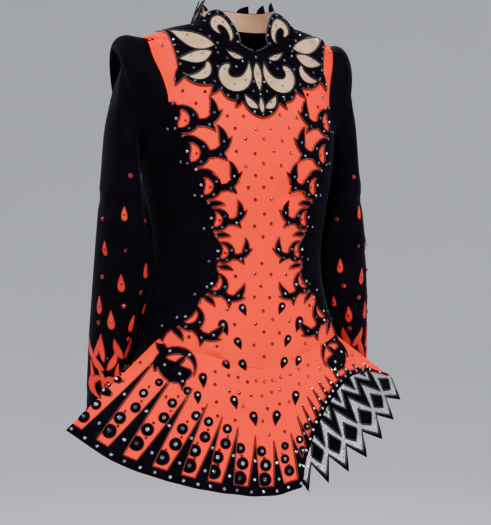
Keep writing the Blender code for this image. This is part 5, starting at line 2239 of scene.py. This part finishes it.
@dataclass
class Skirt:
    """The fan skirt with its velvet rays, and the silver zigzag below its cut-away side."""

    scoop_start: float = 0.14
    scoop: Table = Table(
        "across down",
        (0.14, 1.0), (0.2, 0.82), (0.28, 0.68), (0.36, 0.595), (0.46, 0.515), (0.57, 0.462), (0.7, 0.425),
        (0.81, 0.452), (0.94, 0.64), (1.0, 0.87))
    rays: tuple[RayRun, ...] = rows_of(
        RayRun, (-0.914, 0.134, 9, 0.82, 0.885, 0.58, 0.075), (0.25, 0.075, 10, 0.24, 0.88, 0.5, 0.05))
    tabs: tuple[Tab, ...] = rows_of(
        Tab, (-0.985, 0.01, 5, 0.83, 0.135, 8.0), (-0.855, -0.006, 5, 0.82, 0.125, 9.6),
        (-0.725, -0.012, 5, 0.81, 0.125, 9.8), (-0.592, -0.012, 4, 0.845, 0.125, 9.8),
        (-0.46, -0.004, 4, 0.845, 0.12, 9.6), (-0.328, -0.006, 4, 0.85, 0.115, 9.6),
        (-0.185, 0.006, 3, 0.87, 0.115, 9.4), (-0.05, 0.004, 3, 0.87, 0.11, 9.2),
        (0.095, 0.004, 3, 0.84, 0.1, 7.0), (0.205, 0.01, 2, 0.73, 0.095, 6.0),
        (0.288, 0.0, 1, 0.56, 0.1, 5.0))
    teeth: int = 7
    tooth_first: float = 0.13
    tooth_spacing: float = 1.1
    tooth_root: float = 0.86
    tooth_point: float = 1.06
    tooth_lean: float = 0.06
    tooth_drop: float = 0.07
    tuck: float = 0.13
    silver_hem: float = 0.035
    silver_width: float = 0.07
    silver_rise: float = 1.6
    silver_clear: float = 0.02
    silver_nest: float = 3.5
    columns: int = 100
    rows: int = 36
    reach: float = 1.2
    unit: float = 0.0042
    scatter_top: float = 0.1
    scatter_foot: float = 0.62
    scatter_across: float = 0.115
    scatter_down: float = 0.105
    clear_of_cloth: float = 6
    clear_of_trim: float = 13
    clear_of_edge: float = 0.06
    hip_motif: Chart = (0.79, -0.125)
    hip_size: float = 0.85
    drops: tuple[SkirtDrop, ...] = rows_of(
        SkirtDrop, (-0.352, 0.245, 18, -58), (-0.147, 0.345, 19, -66), (0.095, 0.35, 20, -118),
        (0.331, 0.25, 19, -122), (-0.614, 0.29, 17, -64), (-0.65, 0.145, 20, -62))
    drop_bodies: tuple[Chart, ...] = (
        (-0.352, -0.29), (-0.147, -0.39), (0.095, -0.39), (0.331, -0.29), (-0.6, -0.33), (-0.63, -0.19))
    hip_strokes: tuple[Stroke, ...] = rows_of(
        Stroke, (-27, -14, 90, 116, -212, 14), (34, 10, -104, 70, -126, 33), (-15, -39, 84, 36, -60, 15),
        (-4, 17, -78, 24, 40, 9), (52, 30, -150, 36, 30, 15))

    def __post_init__(self) -> None:
        """Make the fan's form."""
        self.form = FanForm()

    def edge_down(self, across: float) -> float:
        """Return how far down the orange skirt reaches at a place across."""
        return 1 if across <= self.scoop_start else self.scoop.at("down", across)

    def edge(self) -> Outline:
        """Return the orange skirt's lower edge, from the wearer's right to the left."""
        places = [mix(self.scoop_start, 1, share) for share in shares(40)]
        return [(-1, -1)] + [(across, -self.edge_down(across)) for across in places]

    def rays_outline(self) -> Outline:
        """Return the velvet border with its pointed rays.

        Returns:
            The outline, along the skirt's edge and back over the rays.
        """
        upper = [(-1, self.rays[0].border - 1)]
        for run in self.rays:
            for ray in range(run.count):
                middle = run.first + run.pitch * ray
                half = run.pitch * run.share / 2 * run.ratio ** (ray / 3)
                tip = run.border + run.length * run.ratio ** ray
                upper += [(place, depth - self.edge_down(place)) for place, depth in
                          ((middle - half, run.border), (middle, tip), (middle + half, run.border))]
        upper.append((1, self.rays[1].border - self.edge_down(1)))
        return self.edge() + upper[::-1]

    def zigzag_line(self, root: float, point: float) -> Outline:
        """Return a saw-toothed line across the zigzag.

        Args:
            root: How far down the notches between its teeth are.
            point: How far down its teeth reach.

        Returns:
            The line, from the middle of the skirt to its side.
        """
        starts = [mix(self.tooth_first, 1, (tooth / self.teeth) ** self.tooth_spacing)
                  for tooth in range(self.teeth + 1)]
        line = []
        for tooth in range(self.teeth):
            drop = self.tooth_drop * tooth / self.teeth
            tip = mix(starts[tooth], starts[tooth + 1], 0.5 - self.tooth_lean)
            line += [(starts[tooth], -root - drop), (tip, -point - drop)]
        return line + [(1, -root - self.tooth_drop)]

    def zigzag_outline(self) -> Outline:
        """Return the velvet of the zigzag: toothed below, tucked behind the orange skirt above."""
        places = [mix(1, self.tooth_first, share) for share in shares(8)]
        top = [(place, self.tuck - min(self.edge_down(place), self.tooth_root)) for place in places]
        return self.zigzag_line(self.tooth_root, self.tooth_point) + top

    def silver_outlines(self) -> list[Outline]:
        """Return the zigzag bands of silver cloth.

        Returns:
            Two bands that leave lozenges of velvet between them, and one nested above.
        """
        root, point = self.tooth_root - self.silver_hem * 0.6, self.tooth_point - self.silver_hem * 2
        crest, wide = mix(root, point, -self.silver_rise), self.silver_width
        lift, half = self.silver_nest * wide, wide * 1.1
        lower = self.zigzag_line(root, point) + self.zigzag_line(root - wide, point - wide * 1.6)[::-1]
        upper = self.zigzag_line(root, crest + half) + self.zigzag_line(root - wide, crest - half)[::-1]
        nested = (self.zigzag_line(root - lift, crest - lift + half)
                  + self.zigzag_line(root - lift - wide, crest - lift - half)[::-1])
        return [lower, upper, nested]

    def silver_cover(self) -> Outline:
        """Return the window that keeps the silver clear of the orange skirt."""
        places = [mix(self.tooth_first + 0.02, 1.001, share) for share in shares(24)]
        edge = [(place, -self.silver_clear - self.edge_down(place)) for place in places]
        return [(-2, 2), (-2, -2), (places[0], -2), *edge, (2, edge[-1][1]), (2, 2)]

    def build(self) -> None:
        """Make the fan and the zigzag."""
        form = self.form
        acrosses = [form.across_at(mix(-1, 1, share)) for share in shares(self.columns)]
        ups = [-self.reach * share for share in shares(self.rows)]
        grid = Grid.over(form, ups, acrosses)
        turns = [form.turn * form.share(across) for across in acrosses]
        top = [FORM.spot(turn, FORM.hip_height(turn)) for turn in turns]
        grid.rows[0] = [Spot(spot.point, body.normal, spot.chart) for spot, body in zip(grid.rows[0], top)]
        grid = Grid(grid.rows)
        outline = self.edge() + [(1, 0), (-1, 0)]
        front = place_piece(cut("skirt_cloth", grid, [outline], [], -CLOTH, CLOTH), ORANGE, ["skirt_front"])
        shapes = [self.rays_outline(), *self.hip_outlines()]
        rays = place_piece(cut("skirt_velvet_rays", grid, shapes, [], SEAM_GAP, APPLIQUE),
                           VELVET, ["skirt_rays"])
        trim = Trim("skirt", form)
        hem = [(across, up + 0.003) for across, up in self.edge()[1:]]
        on_skirt = Shape([(-0.999, 0.01), (-0.999, -0.997), *hem, (0.999, 0.01)])
        trim.stitch("ray_edges", EDGE_SHADE_THREAD, shapes, [], ON_CLOTH, on_skirt.holds, self.unit)
        self.lay_buttons(trim)
        self.lay_drops(trim)
        self.set_gems(trim)
        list(trim.pieces())
        self.build_zigzag(grid)

    def build_zigzag(self, grid: Grid) -> None:
        """Make the zigzag that hangs behind the cut-away side.

        Args:
            grid: The fan, which goes on below the orange skirt's edge.
        """
        under = -CLOTH - SEAM_GAP - CLOTH
        velvet = place_piece(cut("zigzag_velvet", grid, [self.zigzag_outline()], [], under, CLOTH),
                             VELVET, ["skirt_zigzag"])
        lift = under + CLOTH + SEAM_GAP
        bands, cover = self.silver_outlines(), [self.silver_cover()]
        silver = place_piece(cut("zigzag_silver_cloth", grid, bands, cover, lift, SATIN),
                             SILVER, ["zigzag_silver"])
        trim = Trim("zigzag", self.form)
        hidden = Shape(cover[0])
        trim.stitch("edge", BLACK_THREAD, bands, [], lift + SATIN,
                    lambda place: not hidden.holds(place), self.unit, EdgeStitch(1.5, 0.5))
        for band in bands:
            line = band[:2 * self.teeth + 1]
            for start, end in zip(line, line[1:]):
                for share in (0.2, 0.6):
                    across = mix(start[0], end[0], share)
                    up = mix(start[1], end[1], share) + self.silver_width / 2
                    if not hidden.holds((across, up + 0.02)):
                        trim.gem((across, up), lift + SATIN, CLEAR_GEM, 1.8)
        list(trim.pieces())

    def lay_buttons(self, trim: Trim) -> None:
        """Lay the velvet buttons and the crystals down the orange tabs.

        Args:
            trim: Where they are gathered.
        """
        for tab in self.tabs:
            for button in range(tab.count):
                side = 0.012 if (button + round(tab.across * 10)) % 2 else -0.008
                across, up = tab.place(button)
                place = (across + side * min(button, 1), up)
                radius = tab.radius * 0.86 ** button
                trim.disc("button_edges", EDGE_SHADE_THREAD, place, radius + 0.8, 0.7)
                trim.disc("buttons", VELVET, place, radius, 1.3)
                finish = CLEAR_GEM if button % 2 else SMOKE_GEM
                trim.gem(place, 1.3, finish, min(radius * 0.42, 3.0))
                if button:
                    between = (place[0] - side * 2.2, place[1] - tab.pitch * 0.5)
                    trim.gem(between, ON_BARE, AMBER_GEM, 2.2)

    def lay_drops(self, trim: Trim) -> None:
        """Lay the velvet drops over the rays."""
        for drop in self.drops:
            trim.drop((drop.across, -drop.down), drop.size, drop.heading)

    def set_gems(self, trim: Trim) -> None:
        """Set crystals along the hem, in the rays and over the open orange above them.

        Args:
            trim: Where they are gathered.
        """
        covers = [Shape(outline) for outline in [self.rays_outline(), *self.hip_outlines()]]
        hem = 0.035
        for place in (mix(-0.985, 0.14, share) for share in shares(17)):
            trim.gem((place, hem - 1), ON_CLOTH, CLEAR_GEM, 2.2)
        for place in (mix(0.18, 0.97, share) for share in shares(17)):
            trim.gem((place, 0.025 - self.edge_down(place)), ON_CLOTH, CLEAR_GEM, 2.0)
        long_ray, short_ray = ((0.14, 2.3), (0.5, 2.2), (0.86, 1.7)), ((0.3, 1.9), (0.95, 1.6))
        for run in self.rays:
            for ray in range(run.count):
                across = run.first + run.pitch * ray
                length = run.length * run.ratio ** ray
                for share, radius in long_ray if run is self.rays[0] else short_ray:
                    place = (across, run.border + length * share - self.edge_down(across))
                    trim.gem(place, ON_CLOTH if share < 0.8 else 0.4, CLEAR_GEM, radius)
        for hand in Hand:
            to_chart = self.form.local((hand.value * self.hip_motif[0], self.hip_motif[1]))
            for stroke, share in ((0, 0.35), (0, 0.62), (1, 0.3), (1, 0.7), (2, 0.4)):
                x, z = self.hip_strokes[stroke].spine(share, size=self.hip_size)
                trim.gem(to_chart(hand.value * x, z), ON_CLOTH, CLEAR_GEM, 2.1)
        row, down = 0, self.scatter_top
        while down < self.scatter_foot:
            for column in range(-9, 10):
                across = (column + (0.5 if row % 2 else 0)) * self.scatter_across
                across += trim.dice.uniform(-0.012, 0.012)
                place = (across, -down + trim.dice.uniform(-0.015, 0.015))
                if abs(across) < 0.97 and self.is_open(place, covers):
                    trim.gem(place, ON_BARE, AMBER_GEM, 2.5)
            row += 1
            down += self.scatter_down

    def is_open(self, place: Chart, covers: list[Shape]) -> bool:
        """Return whether a place on the fan is plain orange.

        Args:
            place: The place.
            covers: Outlines of the rays and the hip motifs.

        Returns:
            True where it is clear of them, and of the edge, the buttons and the drops.
        """
        to_chart = self.form.local(place)
        around = [to_chart(*offset) for offset in ring((0, 0), self.clear_of_cloth, 8)]
        if any(cover.holds(near) for near in around for cover in covers):
            return False
        if -place[1] > self.edge_down(place[0]) - self.clear_of_edge:
            return False
        here = self.form.point(*place)
        buttons = [tab.place(button) for tab in self.tabs for button in range(tab.count)]
        return all((self.form.point(*other) - here).length > self.clear_of_trim
                   for other in [*self.drop_bodies, *buttons])

    def hip_outlines(self) -> list[Outline]:
        """Return the motifs at both ends of the hip seam.

        Returns:
            Outlines of an arch with a leafy body, for each side.
        """
        found = []
        for hand in Hand:
            to_chart = self.form.local((hand.value * self.hip_motif[0], self.hip_motif[1]))
            for stroke in self.hip_strokes:
                outline = [to_chart(hand.value * x, z) for x, z in stroke.outline(size=self.hip_size)]
                found.append(outline if hand is Hand.LEFT else outline[::-1])
        return found


class BackSkirtForm(Surface):
    """The left half of the back skirt: across is an angle, up from 0 at the hip to -1 at the hem."""

    step = 0.01
    hem = Table(
        "turn x y z",
        (75, 140, -32, -574), (90, 146, 10, -580), (110, 143, 80, -584), (130, 118, 136, -587),
        (155, 62, 174, -589), (180, 0, 186, -590))
    folds = ((98, 7, 5.0), (116, 6, 3.2), (133, 8, 5.6), (152, 6, 3.6), (168, 7, 4.6))

    def point(self, across: float, up: float) -> Vector:
        """Return the back skirt's point, with soft folds that open towards the hem.

        Args:
            across: Its angle.
            up: Place up; 0 at the hip.

        Returns:
            The point.
        """
        top = FORM.point(across, FORM.hip_height(across) - SEAM_GAP / 2)
        foot = Vector([self.hem.at(axis, across) for axis in "xyz"])
        down = -up
        out = Vector((math.sin(math.radians(across)), -math.cos(math.radians(across)), 0))
        fold = sum(depth * math.exp(-((across - turn) / spread) ** 2) for turn, spread, depth in self.folds)
        return top + (foot - top) * down + out * fold * max(down, 0) ** 1.5


@dataclass
class BackSkirt:
    """The plain velvet skirt behind."""

    columns: int = 60
    rows: int = 20
    allowance: float = 8

    def build(self) -> None:
        """Make both halves."""
        start = FORM.front_edge(FORM.hip_side) + 0.4
        acrosses = [mix(start, 179.9, share) for share in shares(self.columns)]
        grid = Grid.over(BackSkirtForm(), [-share for share in shares(self.rows)], acrosses)
        seam = Grid([[FORM.spot(across, FORM.hip_height(across) + drop) for across in acrosses]
                     for drop in (self.allowance, 0, -self.allowance)])
        for hand in Hand:
            piece = grid_wall(f"back_skirt_cloth_{hand.word}", grid.handed(hand), CLOTH)
            place_piece(piece, VELVET, [f"skirt_back_{hand.word}"])
            name = f"back_skirt_allowance_{hand.word}"
            inside = place_piece(grid_wall(name, seam.handed(hand), SATIN, -CLOTH - SEAM_GAP), VELVET)


# ---------------------------------------------------------------- studio

@dataclass
class Studio:
    """A pale seamless floor with curved sides, soft lights and the camera."""

    floor: float = -1.3
    radius: float = 5.0
    rise: float = 3.2
    eye: Triple = (-0.6357, -1.5847, -0.2354)
    azimuth: float = -22.306
    pitch: float = 3.27
    lens: float = 81.86
    sensor: float = 36.0

    def make_floor(self) -> None:
        """Make the floor, whose rim curves up into the sides."""
        stock = Stock()
        profile = [(0.0, 0.0), (self.radius * 0.55, 0.0)]
        profile += [(self.radius * (0.55 + 0.45 * math.sin(a)), self.rise * (1 - math.cos(a)))
                    for a in (math.pi / 2 * share for share in shares(16)[1:])]
        sides = 96
        points = [Vector((*corner, height + self.floor)) / MM for reach, height in profile
                  for corner in ring((0, 0), reach, sides)]
        faces = [(row * sides + side, row * sides + (side + 1) % sides,
                  (row + 1) * sides + (side + 1) % sides, (row + 1) * sides + side)
                 for row in range(len(profile) - 1) for side in range(sides)]
        stock.add(points, faces)
        floor = stock.mesh_object("studio_floor")
        floor.data.materials.append(StudioPaper("studio_paper", None).material())

    def make_light(self, name: str, place: Chart, height: float, power: float, size: float,
                   colour: Triple) -> None:
        """Make a soft square light that faces the dress.

        Args:
            name: Its name.
            place: Its distance and its azimuth from the dress.
            height: Its height.
            power: Its power in watts.
            size: Its side.
            colour: Its colour.
        """
        data = bpy.data.lights.new(name, "AREA")
        data.shape, data.size, data.energy, data.color = "SQUARE", size, power, colour
        light = bpy.data.objects.new(name, data)
        distance, azimuth = place
        turn = math.radians(azimuth)
        light.location = (distance * math.sin(turn), -distance * math.cos(turn), height)
        light.rotation_mode = "QUATERNION"
        light.rotation_quaternion = (Vector((0, 0, -0.32)) - light.location).to_track_quat("-Z", "Y")
        bpy.context.scene.collection.objects.link(light)

    def make_camera(self) -> None:
        """Make the camera."""
        data = bpy.data.cameras.new("camera")
        data.lens, data.sensor_width = self.lens, self.sensor
        camera = bpy.data.objects.new("camera", data)
        camera.location = self.eye
        camera.rotation_euler = (math.radians(90 - self.pitch), 0, math.radians(self.azimuth))
        bpy.context.scene.collection.objects.link(camera)
        bpy.context.scene.camera = camera

    def build(self) -> None:
        """Make the studio."""
        self.make_floor()
        self.make_light("key", (2.2, -30), 1.9, 105, 0.8, (1.0, 0.97, 0.94))
        self.make_light("fill", (2.4, 40), 0.4, 26, 1.6, (0.95, 0.97, 1.0))
        self.make_light("rim_left", (2.2, 140), 1.2, 30, 0.9, (0.95, 0.97, 1.0))
        self.make_light("rim_right", (2.2, -140), 1.2, 30, 0.9, (0.95, 0.97, 1.0))
        world = bpy.data.worlds.new("studio_air")
        world.use_nodes = True
        world.node_tree.nodes["Background"].inputs["Color"].default_value = (0.8, 0.84, 0.9, 1)
        world.node_tree.nodes["Background"].inputs["Strength"].default_value = 0.62
        bpy.context.scene.world = world
        self.make_camera()


def main() -> None:
    """Build the dress and its studio."""
    logging.basicConfig(level=logging.INFO, format="%(name)s: %(message)s")
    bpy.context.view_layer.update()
    Studio().build()
    Bodice().build()
    Collar().build()
    Sleeves().build()
    Skirt().build()
    BackSkirt().build()


if __name__ == "__main__":
    main()
